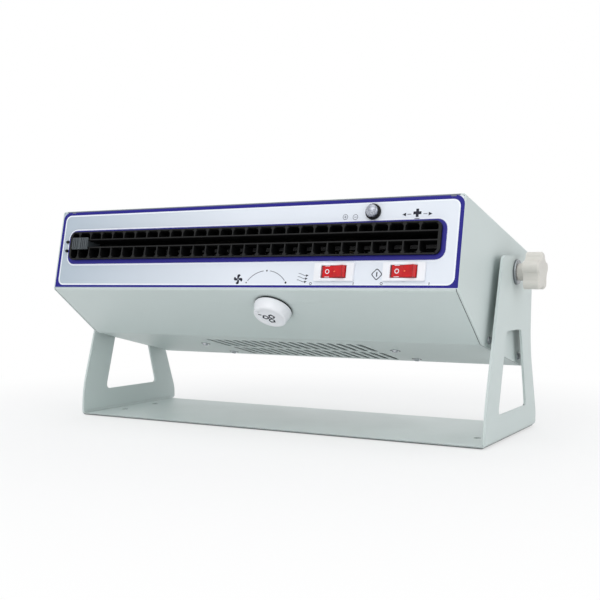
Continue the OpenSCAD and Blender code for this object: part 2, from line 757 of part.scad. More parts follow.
// Curved strip from the outer to the inner radius of the rotor
function blade_line(r_off) =
    [for (i = [0:4]) let (t = i / 4, r = rotor_r - 0.4 - blade_chord * t, a = 16 * t * (2 - t))
        (r + r_off) * [cos(a), sin(a)]];

module rotor_blades() color("#9aa3a8") in_housing()
    at_rotor(-rotor_l / 2) for (i = [0:blade_count - 1]) rotate([0, 0, i * 360 / blade_count])
        linear_extrude(rotor_l) polygon(sheet_outline(blade_line(0), blade_t));

module rotor_discs() color("#8d969b") in_housing()
    for (side = [-1, 1]) at_rotor(side * (rotor_l + disc_t) / 2) difference() {
        union() {
            translate([0, 0, -disc_t / 2]) cylinder(r = rotor_r, h = disc_t, $fn = 72);
            translate([0, 0, side < 0 ? -disc_t / 2 : -5]) cylinder(r = 5.5, h = 5 + disc_t / 2);
        }
        translate([0, 0, -8]) cylinder(r = shaft_r, h = 16);
    }

module fan_shaft() color("silver") in_housing()
    at_rotor(-plate_x - 4) cylinder(r = shaft_r, h = bracket_x + plate_x + 10);

// Laminated stator of the shaded-pole motor, with the winding on its lower limb
stator_w = 48;
stator_top = 24;     // above the shaft
stator_low = 34;     // below the shaft
coil_low = 28.5;     // lower edge of the window for the winding, below the shaft
coil_high = 15.5;    // its upper edge
coil_w = 21;
coil_t = 5.4;        // build of the winding below the limb
wrap = 9;            // build of the winding at its ends

module motor_core() color("#6f7478") in_housing() difference() {
    at_rotor(core_x) linear_extrude(core_l) difference() {
        translate([-stator_top, -stator_w / 2]) square([stator_top + stator_low, stator_w]);
        translate([coil_high, -coil_w / 2 - 0.5]) square([coil_low - coil_high, coil_w + 1]);
    }
    at_rotor(core_x - 1) cylinder(r = armature_r + gap, h = core_l + 2);
}

// Winding round the lower limb, its upper half in the window
module motor_coil() color("#a5622c") in_housing() at_rotor(core_x) difference() {
    translate([coil_high + 0.5, -coil_w / 2, -wrap])
        cube([stator_low + coil_t - coil_high, coil_w, core_l + 2 * wrap]);
    translate([coil_low - air, -coil_w, -air])
        cube([stator_low - coil_low + 2 * air, 2 * coil_w, core_l + 2 * air]);
}

module motor_armature() color("#84898c") in_housing() at_rotor(core_x) difference() {
    cylinder(r = armature_r, h = core_l);
    translate([0, 0, -1]) cylinder(r = shaft_r, h = core_l + 2);
}

module motor_bracket() color("#c3c8ca") in_housing() difference() {
    translate([bracket_x, 0, 0]) rotate([90, 0, 90]) linear_extrude(plate_t)
        translate([rotor_y, rotor_z + 5])
            polygon(round_rect(2 * post_dy + 10, 2 * post_dz + 2, 6));
    at_rotor(bracket_x - 1) cylinder(r = bearing_r, h = plate_t + 2);
}

// Posts from the right plate to the stator, and on to the outer bracket
module motor_posts() color("silver") in_housing() for (dy = [-post_dy, post_dy])
    translate([0, rotor_y + dy, rotor_z + post_dz]) rotate([0, 90, 0]) {
        translate([0, 0, plate_x]) cylinder(r = post_r, h = post_l, $fn = 24);
        translate([0, 0, core_x + core_l]) cylinder(r = post_r, h = bracket_gap, $fn = 24);
    }

// ---- Inside the bottom ----

filter_w = 2 * (foot_x0 - gap);
filter_y0 = inlet_y0 - 6;
filter_y1 = min(inlet_y0 + 2 * inlet_l + inlet_gap + 4, rear_in - sheet - 2 * air);
filter_h = 9;
filter_rim = 3;

// The filter's opening from z0 to z1 above the floor
module filter_space(z0, z1) {
    box_at(-filter_w / 2 + filter_rim, filter_w / 2 - filter_rim, filter_y0 + filter_rim,
           filter_y1 - filter_rim, floor_z + z0, floor_z + z1);
}

module filter_frame() color("#d9dbd6") in_housing() difference() {
    box_at(-filter_w / 2, filter_w / 2, filter_y0, filter_y1, floor_z, floor_z + filter_h);
    filter_space(-1, filter_h + 1);
}

module filter_pad() color("#5a5e60") in_housing() filter_space(1, filter_h - 1);

// High-voltage supply for the emitter, a potted box with two mounting ears
ion_l = 58;
ion_d = 40;
ion_h = 32;
ion_x = -half_w + 45;
ion_y = bottom_y0 + 39;
ear_l = 8;
ear_d = 16;
ear_t = 2.5;

module ion_supply() color("#24262a") in_housing() translate([ion_x, ion_y, floor_z]) difference() {
    union() {
        translate([-ion_l / 2, -ion_d / 2, 0]) cube([ion_l, ion_d, ion_h]);
        translate([-ion_l / 2 - ear_l, -ear_d / 2, 0]) cube([ion_l + 2 * ear_l, ear_d, ear_t]);
    }
    for (side = [-1, 1]) translate([side * (ion_l + ear_l) / 2, 0, -1])
        cylinder(r = 1.6, h = ear_t + 2, $fn = 24);
}

board_w = 70;
board_l = 100;
board_x1 = half_w - 10;
board_x0 = board_x1 - board_w;
board_y0 = bottom_y0 + 5;
board_y1 = board_y0 + board_l;
board_z = floor_z + 5;
standoff_at = [for (x = [board_x0 + 4, board_x1 - 4], y = [board_y0 + 4, board_y1 - 4]) [x, y]];

module control_board() color("#2f6b3c") in_housing() difference() {
    box_at(board_x0, board_x1, board_y0, board_y1, board_z, board_z + 1.6);
    for (p = standoff_at) translate([p[0], p[1], board_z - 1]) cylinder(r = 1.6, h = 4, $fn = 24);
}

module board_parts() color("#3b3d40") in_housing() translate([0, 0, board_z + 1.6]) {
    box_at(board_x0 + 8, board_x0 + 44, board_y0 + 1, board_y0 + 10, 0, 10);
    for (x = [0, 1]) translate([board_x0 + 52 + 10 * x, board_y0 + 14, 0])
        cylinder(r = 4, h = 12, $fn = 32);
    box_at(board_x1 - 14, board_x1 - 11, board_y0 + 26, board_y0 + 46, 0, 16);
    box_at(board_x1 - 16, board_x1 - 4, board_y1 - 30, board_y1 - 12, 0, 11);
}

module board_standoffs() color("#d8c27a") in_housing()
    for (p = standoff_at) translate([p[0], p[1], floor_z]) {
        cylinder(r = 2.8, h = board_z - floor_z, $fn = 24);
        cylinder(r = 1.5, h = board_z - floor_z + 3.5, $fn = 24);
    }

// ---- Controls ----

bezel_t = 2.4;
pin_r = 1.4;
cavity_h = rocker_h + 2 * gap;
cavity_d = 12;   // depth of the rocker's space behind the front
body_l = bezel_l - 6.2;
body_z = bezel_h - 2.6;
body_d = 22;
tab_l = 9;

// Switch housing with its bezel on the front; the rocker's pins turn in its walls
module switch_body(x) {
    on_front(x, switch_z) difference() {
        union() {
            linear_extrude(bezel_t) polygon(round_rect(bezel_l, bezel_h, 0.9, 3));
            translate([0, 0, -body_d]) linear_extrude(body_d + eps)
                polygon(round_rect(body_l, body_z, 0.8, 2));
            for (tab = [-1:1]) translate([tab * 9 - 0.4, -2.4, -body_d - tab_l + eps])
                cube([0.8, 4.8, tab_l]);
        }
        translate([-rocker_l / 2 - gap, -cavity_h / 2, -cavity_d])
            cube([rocker_l + 2 * gap, cavity_h, cavity_d + bezel_t + 1]);
        rotate([90, 0, 0]) cylinder(r = pin_r + run, h = 2 * bezel_h, center = true, $fn = 32);
    }
}

// Rocker in its off place, with the side marked O pressed in
module rocker(x) {
    rise = bezel_t + rocker_l / 2 * tan(rocker_swing / 2) + 0.6;
    r = rocker_l / 2 - 0.1;
    half = concat([[r - 3.5, -6]], [for (i = [0:4]) [r * cos(i * 8), r * sin(i * 8) * rise / r * 1.6]]);
    top = half[len(half) - 1];
    on_front(x, switch_z) rotate([0, -rocker_swing / 2, 0]) {
        rotate([90, 0, 0]) translate([0, 0, -rocker_h / 2]) linear_extrude(rocker_h)
            polygon(concat(half, [[0, top[1] - top[0] * tan(rocker_swing / 2)]],
                           [for (i = [len(half) - 1:-1:0]) [-half[i][0], half[i][1]]]));
        rotate([90, 0, 0]) cylinder(r = pin_r, h = body_z - 0.4, center = true, $fn = 32);
    }
}

module heater_switch() color(ivory) in_housing() switch_body(heater_x);
module power_switch() color(ivory) in_housing() switch_body(power_x);
module heater_rocker() color("#d3232b") in_housing() rocker(heater_x);
module power_rocker() color("#d3232b") in_housing() rocker(power_x);

module lamp_bezel() color(coal) in_housing() on_front(lamp_x, lamp_z)
    rotate_extrude() polygon([[lamp_r - 1.2, 0], [lamp_r, 0], [lamp_r, 2.2], [lamp_r - 0.6, 3],
                              [lamp_r - 1.2, 3]]);

lens_r = lamp_r - 1.3;
lens_h = 4.4;    // height of the lens below its dome
dome_h = 2.8;

module lamp_lens() color([0.85, 0.87, 0.9, 0.8]) in_housing() on_front(lamp_x, lamp_z)
    rotate_extrude() polygon(concat([[0, 0], [lens_r, 0]],
        [for (i = [0:6]) [lens_r * cos(i * 15), lens_h + dome_h * sin(i * 15)]]));

module lamp_body() color("#33363a") in_housing() on_front(lamp_x, lamp_z) {
    translate([0, 0, -20]) cylinder(r = lens_r, h = 20);
    translate([0, 0, -overlay_t - sheet - 3]) cylinder(r = lamp_r - 0.6, h = 3 - air, $fn = 6);
}

shaft_top = knob_h - 3;  // end of the shaft inside the knob
knob_gap = 1.3;          // between the knob and the slope
bush_r = 3.5;
pot_r = 8.2;
pot_d = 9;

module speed_pot() color("#8e9498") in_housing() on_slope(knob_x, knob_s) difference() {
    union() {
        translate([0, 0, -sheet - pot_d]) cylinder(r = pot_r, h = pot_d);
        translate([0, 0, -sheet - eps]) cylinder(r = bush_r, h = sheet + 4);
        for (tab = [-1:1]) translate([tab * 5 - 0.6, pot_r - 4, -sheet - pot_d + 1.6])
            cube([1.2, 8, 0.8]);
    }
    translate([0, 0, -sheet - pot_d + 2]) cylinder(r = shaft_r + run, h = pot_d + sheet + 6);
}

module pot_nut() color("silver") in_housing() on_slope(knob_x, knob_s) difference() {
    cylinder(r = 5.8, h = 2, $fn = 6);
    translate([0, 0, -1]) cylinder(r = bush_r, h = 4);
}

module speed_shaft() color("silver") in_housing() on_slope(knob_x, knob_s)
    translate([0, 0, -sheet - pot_d + 2 + air])
        cylinder(r = shaft_r, h = shaft_top + sheet + pot_d - 2 - air);

// Round knob, hollow underneath round the nut, with a pointer groove and a dished face
module speed_knob() color(ivory) in_housing() on_slope(knob_x, knob_s) difference() {
    rotate_extrude($fn = 96)
        polygon(concat([[0, knob_gap], [knob_r + knob_skirt - 0.3, knob_gap],
                        [knob_r + knob_skirt, knob_gap + 0.3], [knob_r + knob_skirt, knob_gap + 1.4]],
            arc([knob_r - 1.8, knob_h - 1.8], 1.8, 8, 90, 6),
            [[knob_r - 3.4, knob_h - 0.1], [knob_r - 4.4, knob_h - 0.5], [0, knob_h - 0.5]]));
    translate([0, 0, -1]) cylinder(r = 7.5, h = 6);
    translate([0, 0, -1]) cylinder(r = shaft_r, h = shaft_top + 1);
    rotate([0, 0, knob_rest]) translate([-0.6, knob_r - 4.6, knob_h - 0.9]) cube([1.2, 3.6, 3]);
}

// ---- Power inlet ----

socket_cut_w = 28;
socket_cut_h = 20.5;
socket_t = 3;    // flange
socket_d = 20;   // depth behind the panel
well_w = 24;
well_h = 16.5;
well_d = 14;
pole = [2, 4];   // section of a contact
pole_in = 9;     // contact within the well
pole_out = 13;   // contact behind the well's floor

// Outline of the standard three-pole inlet's well: two corners cut off
function well_outline(w, h, c) = [[-w / 2, -h / 2], [w / 2, -h / 2], [w / 2, h / 2 - c],
                                  [w / 2 - c, h / 2], [-w / 2 + c, h / 2], [-w / 2, h / 2 - c]];

module inlet_socket() color(coal) in_housing() on_rear(-socket_x, socket_z) difference() {
    union() {
        linear_extrude(socket_t) polygon(round_rect(socket_w, socket_h, 5, 5));
        translate([0, 0, -socket_d]) linear_extrude(socket_d + eps)
            polygon(round_rect(socket_cut_w - 2 * air, socket_cut_h - 2 * air, 2.5, 4));
    }
    translate([0, 0, -well_d]) linear_extrude(well_d + socket_t + 1)
        polygon(well_outline(well_w, well_h, 5));
    inlet_poles(-socket_d - 1, -well_d + 1);
    for (side = [-1, 1]) translate([side * (socket_w / 2 - 5), 0, -1])
        cylinder(r = 1.8, h = socket_t + 2, $fn = 24);
}

pole_at = [[-7, -2], [7, -2], [0, 2]];

// The three contacts, from z0 to z1
module inlet_poles(z0, z1) {
    for (p = pole_at) translate([p[0], p[1], z0]) linear_extrude(z1 - z0) square(pole, center = true);
}

module inlet_pins() color("silver") in_housing() on_rear(-socket_x, socket_z)
    inlet_poles(-well_d - pole_out, -well_d + pole_in);

// ---- Pivot ----

plate_gap = 2;   // thickness of a reinforcing plate
pivot_plate_w = 44;
pivot_plate_h = 52;
nut_t = 5;

// Reinforcing plates inside the housing's sides
module pivot_plates() color("silver") in_housing() for (side = [-1, 1]) at_pivot(side)
    translate([0, 0, -sheet - plate_gap]) difference() {
        linear_extrude(plate_gap) polygon(round_rect(pivot_plate_w, pivot_plate_h, 4));
        translate([0, 0, -1]) cylinder(r = stud_r + slack, h = plate_gap + 2);
    }

module pivot_nuts() color("silver") in_housing() for (side = [-1, 1]) at_pivot(side)
    translate([0, 0, -sheet - plate_gap - nut_t]) difference() {
        cylinder(r = stud_r * 1.925, h = nut_t, $fn = 6);
        translate([0, 0, -1]) cylinder(r = stud_r + run, h = nut_t + 2);
    }

spacer_r = 11;

module pivot_spacers() color("#2b2d30") in_housing() for (side = [-1, 1]) at_pivot(side)
    difference() {
        cylinder(r = spacer_r, h = spacer_t);
        translate([0, 0, -1]) cylinder(r = stud_r + slack, h = spacer_t + 2);
    }

knob_base = arm_x - half_w + run;         // outer face of the arm, from the housing's side

module clamp_washer(side) {
    at_pivot(side) translate([0, 0, knob_base]) difference() {
        cylinder(r = washer_r, h = washer_t);
        translate([0, 0, -1]) cylinder(r = stud_r + slack, h = washer_t + 2);
    }
}

module clamp_stud(side) {
    at_pivot(side) translate([0, 0, -sheet - plate_gap - 7])
        cylinder(r = stud_r, h = sheet + plate_gap + 7 + knob_base + washer_t + neck_l + star_t - 4);
}

// Star outline: lobes are arcs joined by hollows
lobe_r = star_r * 0.3;
function star_outline() = [for (i = [0:star_lobes - 1]) let (a = i * 360 / star_lobes)
    each concat(
        [for (k = [-4:4]) let (b = a + k * 21) (star_r - lobe_r) * [cos(a), sin(a)]
            + lobe_r * [cos(b), sin(b)]],
        [for (k = [-1:1]) let (b = a + 180 / star_lobes + k * 180 / star_lobes * 0.22)
            (star_r * 0.74 + 0.35 * abs(k)) * [cos(b), sin(b)]])];

module clamp_knob(side) {
    at_pivot(side) translate([0, 0, knob_base + washer_t]) rotate([0, 0, 180 * (side + 1) / 2 + tilt])
        difference() {
            union() {
                cylinder(r1 = neck_r - 0.6, r2 = neck_r, h = neck_l + eps);
                translate([0, 0, neck_l]) linear_extrude(star_t - 1.5) polygon(star_outline());
                translate([0, 0, neck_l + star_t - 1.5 - eps]) linear_extrude(1.5, scale = 0.9)
                    polygon(star_outline());
            }
            translate([0, 0, -1]) cylinder(r = stud_r, h = neck_l + star_t - 3);
        }
}

module clamp_washer_left() color("#3a3c3e") in_housing() clamp_washer(-1);
module clamp_washer_right() color("#3a3c3e") in_housing() clamp_washer(1);
module clamp_stud_left() color("silver") in_housing() clamp_stud(-1);
module clamp_stud_right() color("silver") in_housing() clamp_stud(1);
module clamp_knob_left() color(ivory) in_housing() clamp_knob(-1);
module clamp_knob_right() color(ivory) in_housing() clamp_knob(1);

// ---- Screws ----

// Pan-head screw pointing up its local Z, the underside of its head at 0
module pan_screw(length) {
    difference() {
        union() {
            translate([0, 0, -1.8]) cylinder(r1 = head_r * 0.72, r2 = head_r, h = 1.8);
            translate([0, 0, -eps]) cylinder(r = thread_r, h = length + eps, $fn = 24);
        }
        for (a = [0, 90]) rotate([0, 0, a]) translate([0, 0, -1.8]) cube([3.4, 0.8, 1.6], center = true);
    }
}

module fan_screws() color("silver") in_housing() fan_screw_places() pan_screw(fan_screw_l);

module cover_screws() color("silver") in_housing()
    for (side = [-1, 1], y = side_screw_y)
        translate([side * half_w, y, screw_side_z]) rotate([0, -side * 90, 0]) pan_screw(5);

stand_bracket();
lower_tray();
top_cover();
rear_panel();
front_panel();
front_overlay();
outlet_surround();
outlet_grille();
cleaner_slider();
cleaner_brush();
emitter_bar();
emitter_needles();
outlet_duct();
heater_frame();
heater_coil();
fan_scroll();
fan_tongue();
fan_plate_left();
fan_plate_right();
fan_bearings();
rotor_blades();
rotor_discs();
fan_shaft();
motor_core();
motor_coil();
motor_armature();
motor_bracket();
motor_posts();
filter_frame();
filter_pad();
ion_supply();
control_board();
board_parts();
board_standoffs();
heater_switch();
heater_rocker();
power_switch();
power_rocker();
lamp_bezel();
lamp_lens();
lamp_body();
speed_pot();
pot_nut();
speed_shaft();
speed_knob();
inlet_socket();
inlet_pins();
pivot_plates();
pivot_nuts();
pivot_spacers();
clamp_washer_left();
clamp_washer_right();
clamp_stud_left();
clamp_stud_right();
clamp_knob_left();
clamp_knob_right();
fan_screws();
cover_screws();
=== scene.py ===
import json
import math

import bmesh
import bpy
from mathutils import Matrix, Vector
from mathutils.bvhtree import BVHTree


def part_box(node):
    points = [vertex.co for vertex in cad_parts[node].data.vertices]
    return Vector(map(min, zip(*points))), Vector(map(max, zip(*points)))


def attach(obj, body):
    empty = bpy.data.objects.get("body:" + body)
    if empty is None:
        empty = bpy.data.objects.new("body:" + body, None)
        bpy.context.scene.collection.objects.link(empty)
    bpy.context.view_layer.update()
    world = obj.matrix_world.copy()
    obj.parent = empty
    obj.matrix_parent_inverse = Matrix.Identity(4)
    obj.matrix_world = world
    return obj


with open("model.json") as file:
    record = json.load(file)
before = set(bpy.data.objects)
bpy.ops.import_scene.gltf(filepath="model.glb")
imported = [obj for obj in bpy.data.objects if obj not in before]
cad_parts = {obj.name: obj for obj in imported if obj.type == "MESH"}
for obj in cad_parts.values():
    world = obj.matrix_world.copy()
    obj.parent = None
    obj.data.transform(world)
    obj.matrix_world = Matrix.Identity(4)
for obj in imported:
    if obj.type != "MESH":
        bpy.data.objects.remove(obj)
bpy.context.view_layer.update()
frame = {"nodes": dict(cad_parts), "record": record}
nodes = frame["nodes"]
print("frame loaded:", len(nodes), "CAD nodes")

mm = 0.001
rayStart = 0.05

joints = {j["name"]: j for j in frame["record"]["behaviour"]["joints"]}
pivot = Vector(joints["housing_tilt"]["pos_m"])
housingRight = Vector((1, 0, 0))
housingUp = Vector(joints["heater_switch_rock"]["axis"]).normalized()
frontOut = housingRight.cross(housingUp)
slopeOut = -Vector(joints["speed_turn"]["axis"]).normalized()
frontReach = max((v.co - pivot).dot(frontOut) for v in nodes["front_overlay"].data.vertices)
coverTop = max((v.co - pivot).dot(housingUp) for v in nodes["top_cover"].data.vertices)


def facePlace(origin, right, up):
    # a matrix whose X is right, Y is up and Z stands out of the face
    right, up = right.normalized(), up.normalized()
    out = right.cross(up)
    m = Matrix((right, up, out)).transposed().to_4x4()
    m.translation = origin
    return m


def onFront(x=0.0, z=0.0, out=0.0):
    # millimetres from the pivot, on the overlay's face
    origin = pivot + x * mm * housingRight + z * mm * housingUp + (frontReach + out * mm) * frontOut
    return facePlace(origin, housingRight, housingUp)


def surfaceHit(name, place, x, y):
    # where a line along the place's Z, at x and y in millimetres, first meets a CAD node
    mesh = nodes[name].data
    tree = BVHTree.FromPolygons([v.co for v in mesh.vertices], [p.vertices for p in mesh.polygons])
    out = place.to_3x3() @ Vector((0, 0, 1))
    start = place @ Vector((x * mm, y * mm, rayStart))
    return tree.ray_cast(start, -out)[:2]


def onSurface(name, place, x, y, out=0.05):
    # the place moved onto a node's surface and turned to lie on it
    point, normal = surfaceHit(name, place, x, y)
    up = place.to_3x3() @ Vector((0, 1, 0))
    up = up - normal * up.dot(normal)
    return facePlace(point + normal * out * mm, up.cross(normal), up)


# Effects shared by several finishes

def newGroup(name, inputs, outputs):
    g = bpy.data.node_groups.new(name, "ShaderNodeTree")
    for label, kind, value in inputs:
        s = g.interface.new_socket(name=label, in_out="INPUT", socket_type="NodeSocket" + kind)
        s.default_value = value
    for label, kind in outputs:
        g.interface.new_socket(name=label, in_out="OUTPUT", socket_type="NodeSocket" + kind)
    return g, g.nodes.new("NodeGroupInput"), g.nodes.new("NodeGroupOutput")


def addNode(tree, kind, values=None, **settings):
    n = tree.nodes.new(kind)
    for k, v in settings.items():
        setattr(n, k, v)
    for k, v in (values or {}).items():
        n.inputs[k].default_value = v
    return n


def addMath(tree, operation, a, b=None, clamp=False):
    n = addNode(tree, "ShaderNodeMath", operation=operation, use_clamp=clamp)
    for i, v in enumerate((a, b)):
        if isinstance(v, bpy.types.NodeSocket):
            tree.links.new(v, n.inputs[i])
        elif v is not None:
            n.inputs[i].default_value = v
    return n.outputs[0]


def addNoise(tree, scale, detail=2.0, rough=0.5, vector=None):
    # scale is a number or a socket; coordinates are the object's own, in metres
    n = addNode(tree, "ShaderNodeTexNoise", {"Detail": detail, "Roughness": rough})
    if vector is None:
        vector = addNode(tree, "ShaderNodeTexCoord").outputs["Object"]
    tree.links.new(vector, n.inputs["Vector"])
    if isinstance(scale, bpy.types.NodeSocket):
        tree.links.new(scale, n.inputs["Scale"])
    else:
        n.inputs["Scale"].default_value = scale
    return n.outputs["Fac"]


def addRange(tree, value, low, high, toLow=0.0, toHigh=1.0):
    n = addNode(tree, "ShaderNodeMapRange",
                {"From Min": low, "From Max": high, "To Min": toLow, "To Max": toHigh})
    tree.links.new(value, n.inputs["Value"])
    return n.outputs["Result"]


def addMix(tree, fac, a, b, blend="MIX"):
    n = addNode(tree, "ShaderNodeMix", data_type="RGBA", blend_type=blend)
    for socket, v in ((n.inputs["Factor"], fac), (n.inputs[6], a), (n.inputs[7], b)):
        if isinstance(v, bpy.types.NodeSocket):
            tree.links.new(v, socket)
        else:
            socket.default_value = v
    return n.outputs[2]


toneDrift = {"fineScale": 11.0, "broadShare": 0.7, "fineShare": 0.3}


def makeToneDrift():
    # slow change of brightness over a surface, with finer mottling on top
    g, gin, gout = newGroup("toneDrift",
                            [("Color", "Color", (0.8, 0.8, 0.8, 1)), ("Scale", "Float", 9.0),
                             ("Amount", "Float", 0.06)], [("Color", "Color")])
    broad = addNoise(g, gin.outputs["Scale"], 2.0)
    fine = addNoise(g, addMath(g, "MULTIPLY", gin.outputs["Scale"], toneDrift["fineScale"]), 3.0)
    both = addMath(g, "ADD", addMath(g, "MULTIPLY", broad, toneDrift["broadShare"]),
                   addMath(g, "MULTIPLY", fine, toneDrift["fineShare"]))
    swing = addMath(g, "MULTIPLY", addMath(g, "SUBTRACT", both, 0.5), gin.outputs["Amount"])
    gain = addMath(g, "ADD", swing, 1.0)
    scaled = addNode(g, "ShaderNodeVectorMath", operation="SCALE")
    g.links.new(gin.outputs["Color"], scaled.inputs[0])
    g.links.new(gain, scaled.inputs["Scale"])
    g.links.new(scaled.outputs[0], gout.inputs["Color"])
    return g


powderGrain = {"speckScale": 3.4, "peelDetail": 1.5, "peelRough": 0.45}


def makePowderGrain():
    # orange peel of a powder coat: soft bumps with a finer grain in them
    g, gin, gout = newGroup("powderGrain", [("Scale", "Float", 900.0), ("Fine", "Float", 0.3)],
                            [("Height", "Float"), ("Mottle", "Float")])
    peel = addNoise(g, gin.outputs["Scale"], powderGrain["peelDetail"], powderGrain["peelRough"])
    speck = addNoise(g, addMath(g, "MULTIPLY", gin.outputs["Scale"], powderGrain["speckScale"]), 1.0)
    height = addMath(g, "ADD", peel, addMath(g, "MULTIPLY", speck, gin.outputs["Fine"]))
    g.links.new(height, gout.inputs["Height"])
    g.links.new(speck, gout.inputs["Mottle"])
    return g


mouldGrain = {"fineScale": 2.0, "fineShare": 0.5}


def makeMouldGrain():
    # spark-eroded texture of a moulded face
    g, gin, gout = newGroup("mouldGrain", [("Scale", "Float", 1400.0)], [("Height", "Float")])
    coarse = addNode(g, "ShaderNodeTexVoronoi", feature="SMOOTH_F1")
    g.links.new(addNode(g, "ShaderNodeTexCoord").outputs["Object"], coarse.inputs["Vector"])
    g.links.new(gin.outputs["Scale"], coarse.inputs["Scale"])
    fine = addNoise(g, addMath(g, "MULTIPLY", gin.outputs["Scale"], mouldGrain["fineScale"]), 2.0)
    share = addMath(g, "MULTIPLY", fine, mouldGrain["fineShare"])
    g.links.new(addMath(g, "ADD", coarse.outputs["Distance"], share), gout.inputs["Height"])
    return g


def makeBrushLines():
    # fine drawn lines along X, as rolled or turned metal has them
    g, gin, gout = newGroup("brushLines", [("Scale", "Float", 260.0), ("Stretch", "Float", 30.0)],
                            [("Line", "Float")])
    place = addNode(g, "ShaderNodeMapping", vector_type="TEXTURE")
    g.links.new(addNode(g, "ShaderNodeTexCoord").outputs["Object"], place.inputs["Vector"])
    stretch = addNode(g, "ShaderNodeCombineXYZ", {"Y": 1.0, "Z": 1.0})
    g.links.new(gin.outputs["Stretch"], stretch.inputs["X"])
    g.links.new(stretch.outputs[0], place.inputs["Scale"])
    g.links.new(addNoise(g, gin.outputs["Scale"], 4.0, 0.6, place.outputs[0]), gout.inputs["Line"])
    return g


edgeNormals = {"samples": 4, "worn": (0.99, 0.8), "near": (0.995, 0.85), "patch": (0.45, 0.62)}


def addNormalDot(tree, width):
    # how far the rounded normal agrees with the flat one: 1 on the flat, less near an edge
    soft = addNode(tree, "ShaderNodeBevel", samples=edgeNormals["samples"])
    tree.links.new(width, soft.inputs["Radius"])
    flat = addNode(tree, "ShaderNodeNewGeometry")
    dot = addNode(tree, "ShaderNodeVectorMath", operation="DOT_PRODUCT")
    tree.links.new(soft.outputs[0], dot.inputs[0])
    tree.links.new(flat.outputs["True Normal"], dot.inputs[1])
    return dot.outputs["Value"]


def makeEdgeWear():
    # 1 along edges where a rounded normal leaves the flat one, broken up by noise
    g, gin, gout = newGroup("edgeWear", [("Width", "Float", 0.0008), ("Breakup", "Float", 160.0)],
                            [("Mask", "Float")])
    edge = addRange(g, addNormalDot(g, gin.outputs["Width"]), *edgeNormals["worn"])
    patch = addRange(g, addNoise(g, gin.outputs["Breakup"], 4.0, 0.6), *edgeNormals["patch"])
    g.links.new(addMath(g, "MULTIPLY", edge, patch, True), gout.inputs["Mask"])
    return g


def makeNearEdge():
    # 1 close to an edge and 0 on the flat
    g, gin, gout = newGroup("nearEdge", [("Width", "Float", 0.001)], [("Mask", "Float")])
    edge = addRange(g, addNormalDot(g, gin.outputs["Width"]), *edgeNormals["near"])
    g.links.new(edge, gout.inputs["Mask"])
    return g


dustFilm = {"upward": (0.2, 1.0), "patch": (0.42, 0.75), "everywhere": 0.25}


def makeDustFilm():
    # handling marks and dust, thicker on upward faces
    g, gin, gout = newGroup("dustFilm", [("Scale", "Float", 22.0), ("Rise", "Float", 0.5)],
                            [("Mask", "Float")])
    up = addNode(g, "ShaderNodeSeparateXYZ")
    g.links.new(addNode(g, "ShaderNodeNewGeometry").outputs["Normal"], up.inputs[0])
    lift = addMath(g, "MULTIPLY", addRange(g, up.outputs["Z"], *dustFilm["upward"]),
                   gin.outputs["Rise"])
    patch = addRange(g, addNoise(g, gin.outputs["Scale"], 6.0, 0.62), *dustFilm["patch"])
    cover = addMath(g, "ADD", lift, dustFilm["everywhere"])
    g.links.new(addMath(g, "MULTIPLY", cover, patch, True), gout.inputs["Mask"])
    return g


groups = {"toneDrift": makeToneDrift(), "powderGrain": makePowderGrain(),
          "mouldGrain": makeMouldGrain(), "brushLines": makeBrushLines(),
          "edgeWear": makeEdgeWear(), "nearEdge": makeNearEdge(), "dustFilm": makeDustFilm()}
print("node groups made:", len(groups))


# Finishes

def newMaterial(name, **sockets):
    mat = bpy.data.materials.new(name)
    mat.use_nodes = True
    shader = mat.node_tree.nodes["Principled BSDF"]
    for k, v in sockets.items():
        shader.inputs[k].default_value = v
    return mat, mat.node_tree, shader


def useGroup(tree, name, **values):
    n = addNode(tree, "ShaderNodeGroup", node_tree=groups[name])
    for k, v in values.items():
        if isinstance(v, bpy.types.NodeSocket):
            tree.links.new(v, n.inputs[k])
        else:
            n.inputs[k].default_value = v
    return n.outputs


def addBump(tree, shader, height, strength, distance):
    n = addNode(tree, "ShaderNodeBump", {"Strength": strength, "Distance": distance})
    tree.links.new(height, n.inputs["Height"])
    tree.links.new(n.outputs[0], shader.inputs["Normal"])


def rgb(r, g, b):
    # display values from 0 to 255, as a linear colour
    lin = [(c / 255 / 12.92) if c <= 10 else ((c / 255 + 0.055) / 1.055) ** 2.4 for c in (r, g, b)]
    return (*lin, 1.0)


sheetPaint = {"color": rgb(205, 215, 213), "worn": rgb(150, 158, 160), "dust": rgb(196, 200, 196),
              "creviceShade": rgb(44, 50, 52), "depth": 0.005, "opening": (0.8, 0.35),
              "grain": 850.0, "bump": 0.16, "bumpReach": 0.0003, "rough": (0.36, 0.5),
              "wornShare": 0.5, "dustShare": 0.25, "dustRough": 0.12}


